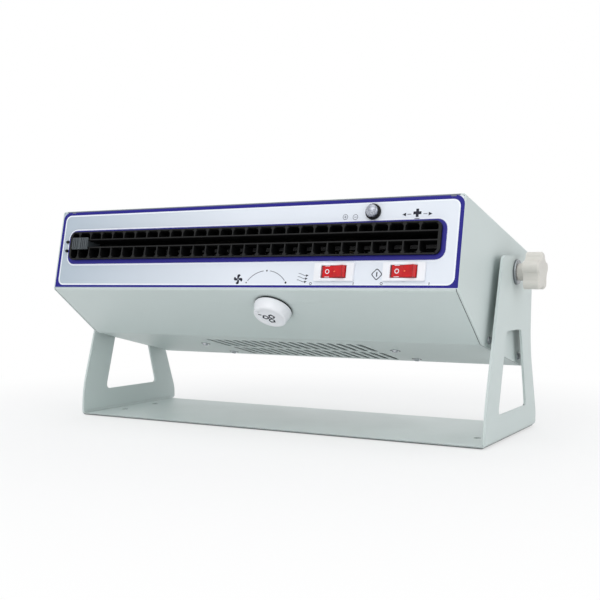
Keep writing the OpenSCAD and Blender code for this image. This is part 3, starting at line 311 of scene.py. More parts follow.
def makeSheetPaint():
    # pale powder coat, rubbed at the edges, with painted shade in the crevices
    mat, tree, shader = newMaterial("sheetPaint")
    tone = useGroup(tree, "toneDrift", Color=sheetPaint["color"], Scale=7.0, Amount=0.05)
    wear = useGroup(tree, "edgeWear", Width=0.0006, Breakup=120.0)["Mask"]
    dust = useGroup(tree, "dustFilm", Scale=16.0, Rise=0.35)["Mask"]
    grain = useGroup(tree, "powderGrain", Scale=sheetPaint["grain"], Fine=0.25)
    base = addMix(tree, addMath(tree, "MULTIPLY", dust, sheetPaint["dustShare"]), tone["Color"],
                  sheetPaint["dust"])
    base = addMix(tree, addMath(tree, "MULTIPLY", wear, sheetPaint["wornShare"]), base,
                  sheetPaint["worn"])
    # painted shade: ambient occlusion within 5 mm darkens slot walls, creases and the sheet round parts
    # standing close to it
    near = addNode(tree, "ShaderNodeAmbientOcclusion", {"Distance": sheetPaint["depth"]}, samples=6)
    paintedShade = addRange(tree, near.outputs["AO"], *sheetPaint["opening"])
    base = addMix(tree, paintedShade, base, sheetPaint["creviceShade"])
    tree.links.new(base, shader.inputs["Base Color"])
    rough = addRange(tree, grain["Mottle"], 0.3, 0.7, *sheetPaint["rough"])
    rough = addMath(tree, "ADD", rough, addMath(tree, "MULTIPLY", dust, sheetPaint["dustRough"]))
    tree.links.new(rough, shader.inputs["Roughness"])
    addBump(tree, shader, grain["Height"], sheetPaint["bump"], sheetPaint["bumpReach"])
    return mat


filmPrintAndSheen = {"sheenDarkLeft": rgb(168, 182, 194), "color": rgb(228, 233, 241), "rough": (0.42, 0.56),
             "fade": (-0.23, 0.01), "dust": rgb(196, 200, 200), "dustShare": 0.1,
             "grain": 2600.0, "bump": 0.08, "bumpReach": 0.0001}


def makeFilmPrintAndSheen():
    # satin film with a painted sheen: darker silver-grey at its left and paler towards the middle, standing
    # for the light reflected across it
    mat, tree, shader = newMaterial("filmPrintAndSheen")
    across = addNode(tree, "ShaderNodeSeparateXYZ")
    tree.links.new(addNode(tree, "ShaderNodeTexCoord").outputs["Object"], across.inputs[0])
    # painted sheen: the colour grades across X from the darker left to the paler middle
    fade = addRange(tree, across.outputs["X"], *filmPrintAndSheen["fade"])
    sheenGround = addMix(tree, fade, filmPrintAndSheen["sheenDarkLeft"], filmPrintAndSheen["color"])
    tone = useGroup(tree, "toneDrift", Scale=12.0, Amount=0.04, Color=sheenGround)
    dust = useGroup(tree, "dustFilm", Scale=30.0, Rise=0.1)["Mask"]
    base = addMix(tree, addMath(tree, "MULTIPLY", dust, filmPrintAndSheen["dustShare"]), tone["Color"],
                  filmPrintAndSheen["dust"])
    tree.links.new(base, shader.inputs["Base Color"])
    grain = useGroup(tree, "mouldGrain", Scale=filmPrintAndSheen["grain"])["Height"]
    tree.links.new(addRange(tree, grain, 0.2, 1.0, *filmPrintAndSheen["rough"]), shader.inputs["Roughness"])
    addBump(tree, shader, grain, filmPrintAndSheen["bump"], filmPrintAndSheen["bumpReach"])
    return mat


ink = {"grain": 3000.0, "smoother": 0.06, "rougher": 0.08, "bump": 0.06, "bumpReach": 0.00008}


def makeInk(name, color, rough):
    # screen-printed ink: slightly uneven coverage and a soft sheen
    mat, tree, shader = newMaterial(name, **{"Specular IOR Level": 0.3})
    tone = useGroup(tree, "toneDrift", Color=color, Scale=60.0, Amount=0.14)
    tree.links.new(tone["Color"], shader.inputs["Base Color"])
    grain = addNoise(tree, ink["grain"], 2.0)
    sheen = addRange(tree, grain, 0.3, 0.7, rough - ink["smoother"], rough + ink["rougher"])
    tree.links.new(sheen, shader.inputs["Roughness"])
    addBump(tree, shader, grain, ink["bump"], ink["bumpReach"])
    return mat


plastic = {"paler": 1.3, "lift": 0.03, "dustShare": 0.22, "dustRough": 0.15, "bumpReach": 0.00015}


def makePlastic(name, color, rough=(0.32, 0.46), grain=1500.0, bump=0.12, dustColor=None, wear=0.2,
                **sockets):
    # moulded plastic: eroded grain, slight drift of tone, edges rubbed a little paler
    mat, tree, shader = newMaterial(name, **sockets)
    tone = useGroup(tree, "toneDrift", Color=color, Scale=40.0, Amount=0.1)
    rub = useGroup(tree, "edgeWear", Width=0.0004, Breakup=260.0)["Mask"]
    dust = useGroup(tree, "dustFilm", Scale=55.0, Rise=0.4)["Mask"]
    pale = tuple(min(1.0, c * plastic["paler"] + plastic["lift"]) for c in color[:3]) + (1.0,)
    base = addMix(tree, addMath(tree, "MULTIPLY", rub, wear), tone["Color"], pale)
    base = addMix(tree, addMath(tree, "MULTIPLY", dust, plastic["dustShare"]), base, dustColor or pale)
    tree.links.new(base, shader.inputs["Base Color"])
    height = useGroup(tree, "mouldGrain", Scale=grain)["Height"]
    shine = addRange(tree, height, 0.2, 1.0, *rough)
    dulled = addMath(tree, "ADD", shine, addMath(tree, "MULTIPLY", dust, plastic["dustRough"]))
    tree.links.new(dulled, shader.inputs["Roughness"])
    addBump(tree, shader, height, bump, plastic["bumpReach"])
    return mat


metal = {"dull": 0.6, "spotScale": 90.0, "spots": (0.5, 0.8), "tarnish": 0.48,
         "bump": 0.08, "bumpReach": 0.0001}


def makeMetal(name, color, rough, scale=300.0, stretch=25.0):
    # drawn or turned metal with dull spots
    mat, tree, shader = newMaterial(name, Metallic=1.0)
    line = useGroup(tree, "brushLines", Scale=scale, Stretch=stretch)["Line"]
    tone = useGroup(tree, "toneDrift", Color=color, Scale=30.0, Amount=0.15)
    dull = tuple(c * metal["dull"] for c in color[:3]) + (1.0,)
    patches = addNoise(tree, metal["spotScale"], 5.0, 0.65)
    spots = addRange(tree, patches, *metal["spots"], 0.0, metal["tarnish"])
    tree.links.new(addMix(tree, spots, tone["Color"], dull), shader.inputs["Base Color"])
    tree.links.new(addRange(tree, line, 0.3, 0.7, *rough), shader.inputs["Roughness"])
    addBump(tree, shader, line, metal["bump"], metal["bumpReach"])
    return mat


galvanised = {"scale": 130.0, "tones": (rgb(168, 174, 178), rgb(196, 202, 206)), "rough": (0.3, 0.5),
              "bump": 0.06, "bumpReach": 0.0002}


def makeGalvanised():
    # zinc spangle: large crystals with slightly different tone and sheen
    mat, tree, shader = newMaterial("galvanised", Metallic=1.0)
    cells = addNode(tree, "ShaderNodeTexVoronoi", {"Scale": galvanised["scale"], "Randomness": 1.0})
    tree.links.new(addNode(tree, "ShaderNodeTexCoord").outputs["Object"], cells.inputs["Vector"])
    grey = addNode(tree, "ShaderNodeRGBToBW")
    tree.links.new(cells.outputs["Color"], grey.inputs[0])
    tree.links.new(addMix(tree, grey.outputs[0], *galvanised["tones"]), shader.inputs["Base Color"])
    sheen = addRange(tree, grey.outputs[0], 0.0, 1.0, *galvanised["rough"])
    tree.links.new(sheen, shader.inputs["Roughness"])
    addBump(tree, shader, cells.outputs["Distance"], galvanised["bump"], galvanised["bumpReach"])
    return mat


laminations = {"scale": 320.0, "tones": (rgb(70, 74, 80), rgb(120, 124, 128)), "rough": (0.4, 0.65),
               "bump": 0.3, "bumpReach": 0.0002}


def makeLaminations():
    # stacked sheets of a motor core, seen as fine stripes
    mat, tree, shader = newMaterial("laminations", Metallic=0.7)
    place = addNode(tree, "ShaderNodeTexCoord").outputs["Object"]
    wave = addNode(tree, "ShaderNodeTexWave", {"Scale": laminations["scale"], "Distortion": 0.4})
    tree.links.new(place, wave.inputs["Vector"])
    stripe = wave.outputs["Fac"]
    tree.links.new(addMix(tree, stripe, *laminations["tones"]), shader.inputs["Base Color"])
    tree.links.new(addRange(tree, stripe, 0, 1, *laminations["rough"]), shader.inputs["Roughness"])
    addBump(tree, shader, stripe, laminations["bump"], laminations["bumpReach"])
    return mat


foam = {"scale": 900.0, "tones": (rgb(10, 11, 12), rgb(30, 32, 34)), "bump": 0.7, "bumpReach": 0.0006}


def makeFoam():
    # open cells of the filter pad
    mat, tree, shader = newMaterial("filterFoam", Roughness=0.95)
    cells = addNode(tree, "ShaderNodeTexVoronoi", {"Scale": foam["scale"]})
    tree.links.new(addNode(tree, "ShaderNodeTexCoord").outputs["Object"], cells.inputs["Vector"])
    fac = addRange(tree, cells.outputs["Distance"], 0.1, 0.7)
    tree.links.new(addMix(tree, fac, *foam["tones"]), shader.inputs["Base Color"])
    addBump(tree, shader, cells.outputs["Distance"], foam["bump"], foam["bumpReach"])
    return mat


rockerRed = {"color": rgb(210, 8, 18), "deep": rgb(150, 3, 12), "edge": rgb(84, 2, 10),
             "rough": (0.14, 0.26), "rimWidth": 0.0012, "rimShadeShare": 0.85,
             "grain": 1800.0, "bump": 0.08, "bumpReach": 0.0001}


def makeRockerRed():
    # glossy red, with painted shade darkening it along its rounded edges
    mat, tree, shader = newMaterial("rockerRed", **{"Specular IOR Level": 0.35, "IOR": 1.49})
    drift = addNoise(tree, 130.0, 3.0)
    base = addMix(tree, addRange(tree, drift, 0.35, 0.65), rockerRed["color"], rockerRed["deep"])
    base = addMix(tree, 0.5, base, rockerRed["color"])
    # painted shade: the rounded edges are darkened where they turn away from the light
    rimShade = useGroup(tree, "nearEdge", Width=rockerRed["rimWidth"])["Mask"]
    base = addMix(tree, addMath(tree, "MULTIPLY", rimShade, rockerRed["rimShadeShare"]), base, rockerRed["edge"])
    tree.links.new(base, shader.inputs["Base Color"])
    height = useGroup(tree, "mouldGrain", Scale=rockerRed["grain"])["Height"]
    tree.links.new(addRange(tree, height, 0.2, 1.0, *rockerRed["rough"]), shader.inputs["Roughness"])
    addBump(tree, shader, height, rockerRed["bump"], rockerRed["bumpReach"])
    return mat


lens = {"facets": 700.0, "reach": 0.6, "tones": (rgb(204, 208, 216), rgb(150, 154, 166)),
        "rough": (0.08, 0.24), "bump": 0.25, "bumpReach": 0.0003}


def makeLens():
    # smoked lens over a bright reflector, cut in fine facets
    mat, tree, shader = newMaterial("clearLens", **{"Transmission Weight": 0.15, "IOR": 1.49,
                                                    "Metallic": 0.55, "Coat Weight": 0.6})
    cut = addNode(tree, "ShaderNodeTexVoronoi", {"Scale": lens["facets"]})
    tree.links.new(addNode(tree, "ShaderNodeTexCoord").outputs["Object"], cut.inputs["Vector"])
    away = cut.outputs["Distance"]
    tone = addMix(tree, addRange(tree, away, 0.0, lens["reach"]), *lens["tones"])
    tree.links.new(tone, shader.inputs["Base Color"])
    tree.links.new(addRange(tree, away, 0.0, lens["reach"], *lens["rough"]), shader.inputs["Roughness"])
    addBump(tree, shader, away, lens["bump"], lens["bumpReach"])
    return mat


bristle = {"tones": (rgb(206, 198, 172), rgb(236, 230, 212)), "bump": 0.4, "bumpReach": 0.0002}


def makeBristle():
    # hairs of the cleaner's brush
    mat, tree, shader = newMaterial("bristle", Roughness=0.6)
    line = useGroup(tree, "brushLines", Scale=900.0, Stretch=0.1)["Line"]
    tree.links.new(addMix(tree, line, *bristle["tones"]), shader.inputs["Base Color"])
    addBump(tree, shader, line, bristle["bump"], bristle["bumpReach"])
    return mat


coalBlack = rgb(9, 10, 11)
materials = {
    "painted_sheet": makeSheetPaint(),
    "overlay_film": makeFilmPrintAndSheen(),
    "blue_trim": makePlastic("blueTrim", rgb(24, 19, 128), (0.4, 0.52), 2200.0, 0.06, rgb(50, 50, 150), 0.1,
                              **{"Specular IOR Level": 0.35}),
    "black_plastic": makePlastic("blackPlastic", coalBlack, (0.48, 0.64), 1700.0, 0.14, rgb(34, 35, 37), 0.12,
                                 **{"Specular IOR Level": 0.3}),
    "grey_plastic": makePlastic("greyPlastic", rgb(74, 80, 84), (0.38, 0.52), 1700.0, 0.14),
    "ivory_plastic": makePlastic("ivoryPlastic", rgb(238, 239, 243), (0.3, 0.42), 1300.0, 0.08,
                                 rgb(206, 205, 200), 0.0),
    "red_plastic": makeRockerRed(),
    "clear_lens": makeLens(),
    "bristle": makeBristle(),
    "steel": makeMetal("zincSteel", rgb(196, 199, 204), (0.2, 0.36)),
    "galvanised": makeGalvanised(),
    "aluminium": makeMetal("aluminium", rgb(205, 207, 210), (0.28, 0.45), 240.0, 40.0),
    "laminations": makeLaminations(),
    "winding": makePlastic("windingTape", rgb(150, 84, 40), (0.4, 0.55), 900.0, 0.3),
    "bronze": makeMetal("bronze", rgb(178, 142, 88), (0.3, 0.45), 400.0, 2.0),
    "brass": makeMetal("brass", rgb(208, 178, 112), (0.2, 0.34), 400.0, 4.0),
    "mica": makePlastic("micaCard", rgb(186, 172, 142), (0.3, 0.5), 500.0, 0.25),
    "resistance_wire": makeMetal("resistanceWire", rgb(170, 164, 158), (0.25, 0.4), 700.0, 1.0),
    "insulator": makePlastic("insulator", rgb(224, 220, 208), (0.36, 0.5), 1200.0, 0.1),
    "rubber": makePlastic("rubber", rgb(46, 47, 49), (0.6, 0.78), 1500.0, 0.2, rgb(90, 90, 90)),
    "circuit_board": makePlastic("solderMask", rgb(40, 104, 60), (0.26, 0.4), 800.0, 0.1),
    "filter_foam": makeFoam(),
}
inkBlue = makeInk("inkBlue", rgb(25, 19, 128), 0.5)
# dark ink for the signs and marks, also used for the painted shadow rings round the screws under the tray
inkDarkAndShadow = makeInk("inkDarkAndShadow", rgb(26, 28, 44), 0.5)
inkGrey = makeInk("inkGrey", rgb(112, 116, 126), 0.5)
inkWhite = makeInk("inkWhite", rgb(238, 242, 248), 0.45)
# painted highlight: orange ink for the glint on the rockers
inkGlint = makeInk("inkGlint", rgb(250, 120, 84), 0.3)
# clamp knobs: a darker, warmer ivory; its dust patches are painted in a brownish shade colour, so they stand
# partly for dust and partly for painted shade
agedIvoryAndShade = makePlastic("agedIvoryAndShade", rgb(212, 209, 202), (0.3, 0.44), 1100.0, 0.1, rgb(170, 160, 142), 0.0)
# painted shade: the outlet duct behind the grille is made near black so the cells look deep and shaded
ductShadeZinc = makePlastic("ductShadeZinc", rgb(34, 36, 38), (0.4, 0.6), 900.0, 0.1)
# partly painted shade: the filter frame behind the tray's slots and the emitter bar behind the grille are
# made dark so the openings look shaded; dark plastic is also a real colour for emitter bars
darkInsulatorAndShade = makePlastic("darkInsulatorAndShade", rgb(40, 40, 42), (0.4, 0.55), 1200.0, 0.1)
screwZinc = makeMetal("screwZinc", rgb(150, 154, 158), (0.26, 0.4), 500.0, 2.0)
extras = (inkBlue, inkDarkAndShadow, inkGrey, inkWhite, inkGlint, agedIvoryAndShade, ductShadeZinc, darkInsulatorAndShade, screwZinc)
print("materials made:", len(materials) + len(extras))

slotOf = {s["node"]: s["material_slot"] for s in frame["record"]["subparts"]}
# the emitter bar, filter frame and outlet duct take dark finishes as painted shade behind the openings
ownFinish = {"emitter_bar": darkInsulatorAndShade, "filter_frame": darkInsulatorAndShade,
             "clamp_washer_left": screwZinc, "clamp_washer_right": screwZinc,
             "clamp_knob_left": agedIvoryAndShade, "clamp_knob_right": agedIvoryAndShade, "outlet_duct": ductShadeZinc,
             "cover_screws": screwZinc}
for name, obj in nodes.items():
    obj.data.materials.clear()
    obj.data.materials.append(ownFinish.get(name) or materials[slotOf[name]])


# Rounded edges on the frame's own pieces

edgeSoftness = {
    "stand_bracket": 0.35, "top_cover": 0.2, "lower_tray": 0.2, "rear_panel": 0.2,
    "front_overlay": 0.12, "outlet_surround": 0.25, "outlet_grille": 0.25,
    "heater_switch": 0.35, "power_switch": 0.35, "heater_rocker": 0.35, "power_rocker": 0.35,
    "cleaner_slider": 0.2, "lamp_bezel": 0.15, "speed_knob": 0.3, "inlet_socket": 0.4,
    "clamp_knob_left": 1.1, "clamp_knob_right": 1.1,
    "clamp_washer_left": 0.3, "clamp_washer_right": 0.3, "pivot_spacers": 0.3,
    "fan_screws": 0.2, "cover_screws": 0.2,
}


edgeShape = {"weld": 0.000002, "segments": 2, "angle": 32}


def softenEdges(obj, width):
    weld = obj.modifiers.new("weld", "WELD")
    weld.merge_threshold = edgeShape["weld"]
    bevel = obj.modifiers.new("soften", "BEVEL")
    bevel.width = width * mm
    bevel.segments = edgeShape["segments"]
    bevel.limit_method = "ANGLE"
    bevel.angle_limit = math.radians(edgeShape["angle"])
    bevel.use_clamp_overlap = True
    bevel.harden_normals = False


for name, width in edgeSoftness.items():
    softenEdges(nodes[name], width)
print("edges softened:", len(edgeSoftness))


# Print on the front

def flatPiece(name, outlines, place, material, thickness=0.06, body="housing"):
    # thin printed areas: each outline is a closed list of points in millimetres, or (outer, hole)
    bm = bmesh.new()
    for outline in outlines:
        rings = outline if isinstance(outline, tuple) else (outline,)
        loops = []
        for ring in rings:
            verts = [bm.verts.new((x * mm, y * mm, 0)) for x, y in ring]
            loops.append([bm.edges.new((verts[i], verts[(i + 1) % len(verts)]))
                          for i in range(len(verts))])
        bmesh.ops.triangle_fill(bm, edges=[e for ring in loops for e in ring], use_beauty=True)
    for f in bm.faces:
        f.normal_update()
        if f.normal.z < 0:
            f.normal_flip()
    me = bpy.data.meshes.new(name)
    bm.to_mesh(me)
    bm.free()
    me.materials.append(material)
    obj = bpy.data.objects.new(name, me)
    bpy.context.scene.collection.objects.link(obj)
    obj.matrix_world = place
    thick = obj.modifiers.new("ink", "SOLIDIFY")
    thick.thickness = thickness * mm
    thick.offset = -1
    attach(obj, body)
    return obj


def roundRect(x0, y0, x1, y1, radii, steps=6):
    # radii: lower left, lower right, upper right, upper left
    r = radii if isinstance(radii, (tuple, list)) else (radii,) * 4
    corners = [(x0, y0, 180, 1, 1), (x1, y0, 270, -1, 1), (x1, y1, 0, -1, -1), (x0, y1, 90, 1, -1)]
    pts = []
    for (cx, cy, a0, sx, sy), q in zip(corners, r):
        if q <= 0:
            pts.append((cx, cy))
            continue
        for i in range(steps + 1):
            a = math.radians(a0 + 90 * i / steps)
            pts.append((cx + sx * q + q * math.cos(a), cy + sy * q + q * math.sin(a)))
    return pts


def circle(cx, cy, r, steps=32):
    return [(cx + r * math.cos(2 * math.pi * i / steps), cy + r * math.sin(2 * math.pi * i / steps))
            for i in range(steps)]


def ring(cx, cy, r, w, steps=40):
    return (circle(cx, cy, r, steps), circle(cx, cy, r - w, steps))


def stroke(pts, w):
    # a closed outline round an open line of points
    left, right = [], []
    for i, (x, y) in enumerate(pts):
        ax, ay = pts[max(i - 1, 0)]
        bx, by = pts[min(i + 1, len(pts) - 1)]
        d = math.hypot(bx - ax, by - ay)
        nx, ny = -(by - ay) / d * w / 2, (bx - ax) / d * w / 2
        left.append((x + nx, y + ny))
        right.append((x - nx, y - ny))
    return left + right[::-1]


def arcLine(cx, cy, r, a0, a1, steps=20):
    return [(cx + r * math.cos(math.radians(a0 + (a1 - a0) * i / steps)),
             cy + r * math.sin(math.radians(a0 + (a1 - a0) * i / steps))) for i in range(steps + 1)]


def moved(pts, dx, dy, turn=0.0, scale=1.0):
    c, s = math.cos(math.radians(turn)), math.sin(math.radians(turn))
    return [(dx + scale * (x * c - y * s), dy + scale * (x * s + y * c)) for x, y in pts]


border = {"left": -198.8, "right": 199.6, "low": -39.6, "high": 32.4, "corner": 7.5,
          "sideInner": 3.1, "lowInner": 2.0, "highInner": 3.0, "innerCorner": 6.0,
          "lowCorner": 0.6}


def insideBorder(extra=0.0):
    # inner outline of the border, drawn in by a further margin
    b = border
    return roundRect(b["left"] + b["sideInner"] + extra, b["low"] + b["lowInner"] + extra,
                     b["right"] - b["sideInner"] - extra, b["high"] - b["highInner"] - extra,
                     b["innerCorner"] - extra)


def makeBorder():
    b = border
    outer = roundRect(b["left"], b["low"], b["right"], b["high"],
                      (b["lowCorner"], b["lowCorner"], b["corner"], b["corner"]))
    return flatPiece("border_line", [(outer, insideBorder())], onFront(out=0.05), inkBlue)


whiteLines = {"wide": 1.3, "outer": (-189.0, -19.2, 189.0, 15.7), "outerCorner": 9.5,
              "inner": (-187.3, -17.5, 187.3, 14.0), "innerCorner": 8.0}


def makeHighlightLines():
    # white lines that set the blue areas off from the tinted ground
    panel = (insideBorder(), insideBorder(whiteLines["wide"]))
    outlet = (roundRect(*whiteLines["outer"], whiteLines["outerCorner"]),
              roundRect(*whiteLines["inner"], whiteLines["innerCorner"]))
    return flatPiece("white_lines", [panel, outlet], onFront(out=0.04), inkWhite)


def fanBlades(cx, cy, size, count=4, turn=12.0):
    # blades of the fan sign: hooked drops round the middle
    blade = [(-0.16, 0.1), (0.16, 0.1), (0.3, 0.42), (0.66, 0.66), (0.5, 0.92), (0.2, 1.0),
             (-0.06, 0.86), (-0.18, 0.5)]
    return [moved(blade, cx, cy, turn + k * 360 / count, size / 2) for k in range(count)]


def arrowHead(cx, cy, size, turn):
    return moved([(-0.5, -0.55), (0.7, 0.0), (-0.5, 0.55)], cx, cy, turn, size)


def cross(x, y, arm, half):
    return [(x - half, y + arm), (x - half, y + half), (x - arm, y + half),
            (x - arm, y - half), (x - half, y - half), (x - half, y - arm),
            (x + half, y - arm), (x + half, y - half), (x + arm, y - half),
            (x + arm, y + half), (x + half, y + half), (x + half, y + arm)]


speedSigns = {"fan": (5.4, -32.5, 8.4), "dial": (32.75, -48.2, 22.9), "line": 0.6,
              "strokes": ((39, 82), (98, 141)), "dots": ((34, 0.9), (90, 0.75), (146, 0.6))}


def makeSpeedSigns():
    # fan sign and the dial over the knob: two strokes, and a dot at each end and at the top
    cx, cy, r = speedSigns["dial"]
    grey = [stroke(arcLine(cx, cy, r, *ends), speedSigns["line"]) for ends in speedSigns["strokes"]]
    dark = fanBlades(*speedSigns["fan"])
    for angle, size in speedSigns["dots"]:
        x, y = arcLine(cx, cy, r, angle, angle)[0]
        dark.append(circle(x, y, size, 12))
    return dark, grey


warmAirSigns = {"at": (67.8, -29.4), "count": 3, "drop": 2.6, "shift": 0.6, "line": 0.5,
                "start": -4.6, "long": 7.4, "rise": 1.5, "sink": 2.6, "turn": 0.157, "climb": 0.09,
                "head": (3.4, -0.1, 1.9, 8)}


def makeWarmAirSigns():
    # three draughts that sink to the right, each with a dark head
    w = warmAirSigns
    hx, hy, size, turn = w["head"]
    dark, grey = [], []
    for k in range(w["count"]):
        x = w["at"][0] - w["shift"] * k
        y = w["at"][1] - w["drop"] * k
        line = [(x + w["start"] + w["long"] * i / 10,
                 y + w["rise"] - w["sink"] * math.sin(i * w["turn"]) ** 2 + w["climb"] * i)
                for i in range(11)]
        grey.append(stroke(line, w["line"]))
        dark.append(arrowHead(x + hx, y + hy, size, turn))
    return dark, grey


switchSigns = {"power": (132.7, -28.8, 4.2), "lozenge": (0.86, 0.7), "corner": 0.42,
               "bar": (0.45, 1.9), "ends": ((75.0, 113.1), (137.2, 176.6)), "ring": (-36.2, 1.15, 0.42),
               "tick": (0.28, -37.3, -35.2)}


def makeSwitchSigns():
    # power sign in its rounded lozenge, and ring and bar under both switches
    px, py, size = switchSigns["power"]
    lozenge = [moved(roundRect(-q, -q, q, q, switchSigns["corner"] * q), px, py, 45)
               for q in (share * size for share in switchSigns["lozenge"])]
    wide, tall = switchSigns["bar"]
    dark = [tuple(lozenge), roundRect(px - wide, py - tall, px + wide, py + tall, 0.3, 3)]
    height, outer, line = switchSigns["ring"]
    half, low, high = switchSigns["tick"]
    for ringX, tickX in switchSigns["ends"]:
        dark.append(ring(ringX, height, outer, line, 20))
        dark.append(roundRect(tickX - half, low, tickX + half, high, 0.1, 2))
    return dark, []


polaritySigns = {"plus": (100.5, 18.2), "minus": (109.4, 17.9), "ring": (2.3, 0.45), "arm": 1.2,
                 "half": 0.25}


def makePolaritySigns():
    # plus and minus, each in a ring
    arm, half = polaritySigns["arm"], polaritySigns["half"]
    plusX, plusY = polaritySigns["plus"]
    minusX, minusY = polaritySigns["minus"]
    grey = [ring(plusX, plusY, *polaritySigns["ring"]), cross(plusX, plusY, arm, half),
            ring(minusX, minusY, *polaritySigns["ring"]),
            roundRect(minusX - arm, minusY - half, minusX + arm, minusY + half, 0.1, 2)]
    return [], grey


cleanerSigns = {"at": (162.0, 19.5), "arm": 3.3, "half": 1.15, "foot": (2.0, -4.9, -4.2),
                "head": (10.6, -1.0, 2.6), "shaft": (5.0, 8.2, -0.9), "line": 0.6}


def makeCleanerSigns():
    # cross on a foot with an arrow to either side
    kx, ky = cleanerSigns["at"]
    wide, low, high = cleanerSigns["foot"]
    headX, headY, size = cleanerSigns["head"]
    start, end, shaftY = cleanerSigns["shaft"]
    dark = [cross(kx, ky, cleanerSigns["arm"], cleanerSigns["half"])]
    grey = [roundRect(kx - wide, ky + low, kx + wide, ky + high, 0.2, 2)]
    for side in (-1, 1):
        dark.append(arrowHead(kx + side * headX, ky + headY, size, 0 if side > 0 else 180))
        grey.append(stroke([(kx + side * start, ky + shaftY), (kx + side * end, ky + shaftY)],
                           cleanerSigns["line"]))
    return dark, grey


def makeSigns():
    dark, grey = [], []
    for make in (makeSpeedSigns, makeWarmAirSigns, makeSwitchSigns, makePolaritySigns, makeCleanerSigns):
        d, g = make()
        dark += d
        grey += g
    flatPiece("signs_dark", dark, onFront(out=0.05), inkDarkAndShadow)
    flatPiece("signs_grey", grey, onFront(out=0.05), inkGrey)


topEdgeStrip = {"wide": 0.8, "below": 0.3, "inset": 4, "notches": (-186.8, 190.4), "notchHalf": 2.2,
            "notchDeep": 0.9, "notchTop": 0.05}


def makeTopEdgeStrip():
    # grey strip along the front just under the cover's folded top edge, with its two notches
    high = coverTop / mm - topEdgeStrip["below"]
    low = high - topEdgeStrip["wide"]
    inset, half = topEdgeStrip["inset"], topEdgeStrip["notchHalf"]
    outline = roundRect(border["left"] + inset, low, border["right"] - inset, high, 0.2, 2)
    notches = [roundRect(x - half, low - topEdgeStrip["notchDeep"], x + half, low - topEdgeStrip["notchTop"], 0.4, 3)
               for x in topEdgeStrip["notches"]]
    return flatPiece("top_edge_strip", [outline] + notches, onFront(out=0.06), inkGrey)


rockerMarks = {"ring": (1.9, 0.6), "ringAt": -0.5, "tallShare": 0.58, "ribAt": 0.72, "rib": (2.2, 0.22),
               "glint": (0.8, 0.45), "glintX": 1.2}


def makeRockerMarks():
    # ring with a fine rib above and below it on one half, and a painted highlight by the middle: a small
    # orange glint
    for name in ("heater_rocker", "power_rocker"):
        low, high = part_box(name)
        mid = (low + high) / 2
        place = onFront((mid.x - pivot.x) / mm, (mid - pivot).dot(housingUp) / mm)
        half = (high.x - low.x) / mm / 2
        ribY = half * rockerMarks["tallShare"] * rockerMarks["ribAt"]
        ribLong, ribWide = rockerMarks["rib"]
        glintLong, glintWide = rockerMarks["glint"]
        marks = [ring(0, 0, *rockerMarks["ring"], 28)]
        marks += [roundRect(-ribLong, side * ribY - ribWide, ribLong, side * ribY + ribWide, 0.1, 2)
                  for side in (-1, 1)]
        flatPiece(name + "_marks", marks, onSurface(name, place, half * rockerMarks["ringAt"], 0),
                  inkWhite, body=name)
        # painted highlight: the glint by the rocker's middle
        flatPiece(name + "_glint", [roundRect(-glintLong, -glintWide, glintLong, glintWide, 0.3, 3)],
                  onSurface(name, place, rockerMarks["glintX"], 0), inkGlint, body=name)


knobMarks = {"fanSize": 5.8, "fanMiddle": (-0.8, -1.4), "hollow": 0.5, "turn": 72,
             "pointer": (-8.2, 3.6), "pointerHalf": (1.5, 0.6), "pointerTurn": -24}


def makeKnobMarks():
    # outlined fan of three blades on the face and a dark pointer at the rim
    place = facePlace(Vector(joints["speed_turn"]["pos_m"]), housingRight, slopeOut.cross(housingRight))
    blade = [(-0.16, 0.1), (0.2, 0.1), (0.56, 0.5), (0.46, 1.04), (-0.3, 1.14), (-0.52, 0.6)]
    mx = sum(x for x, _ in blade) / len(blade)
    my = sum(y for _, y in blade) / len(blade)
    inner = moved([(x - mx, y - my) for x, y in blade], mx, my, 0, knobMarks["hollow"])
    x, y = knobMarks["fanMiddle"]
    face = onSurface("speed_knob", place, x, y)
    marks = [tuple(moved(line, 0, 0, 120 * k + knobMarks["turn"], knobMarks["fanSize"])
                   for line in (blade, inner)) for k in range(3)]
    px, py = knobMarks["pointer"]
    long, wide = knobMarks["pointerHalf"]
    pointer = roundRect(-long, -wide, long, wide, 0.3, 3)
    marks.append(moved(pointer, px - x, py - y, knobMarks["pointerTurn"]))
    flatPiece("knob_marks", marks, face, inkDarkAndShadow, body="speed_control")


screwShadow = {"outer": 4.9, "wide": 1.8, "clear": 6.0}


def makeScrewShadows():
    # painted shadow: a dark ring drawn round each of the four screws under the tray, standing for the shade
    # of a recess
    back = housingUp.cross(housingRight)
    points = [v.co for v in nodes["fan_screws"].data.vertices]
    middle = sum(points, Vector()) / len(points)
    corners = {}
    for p in points:
        corners.setdefault((p.x > middle.x, (p - middle).dot(back) > 0), []).append(p)
    for i, group in enumerate(corners.values()):
        place = facePlace(sum(group, Vector()) / len(group), housingRight, -back)
        clear = screwShadow["clear"]
        flatPiece(f"screw_shadow_{i}", [ring(-clear, 0, screwShadow["outer"], screwShadow["wide"])],
                  onSurface("lower_tray", place, clear, 0), inkDarkAndShadow)


slotPegs = {"x": -189.5, "z": (3.5, -5.0), "out": 0.6, "r": 1.35, "long": 2.8, "segments": 24,
            "round": 0.5}


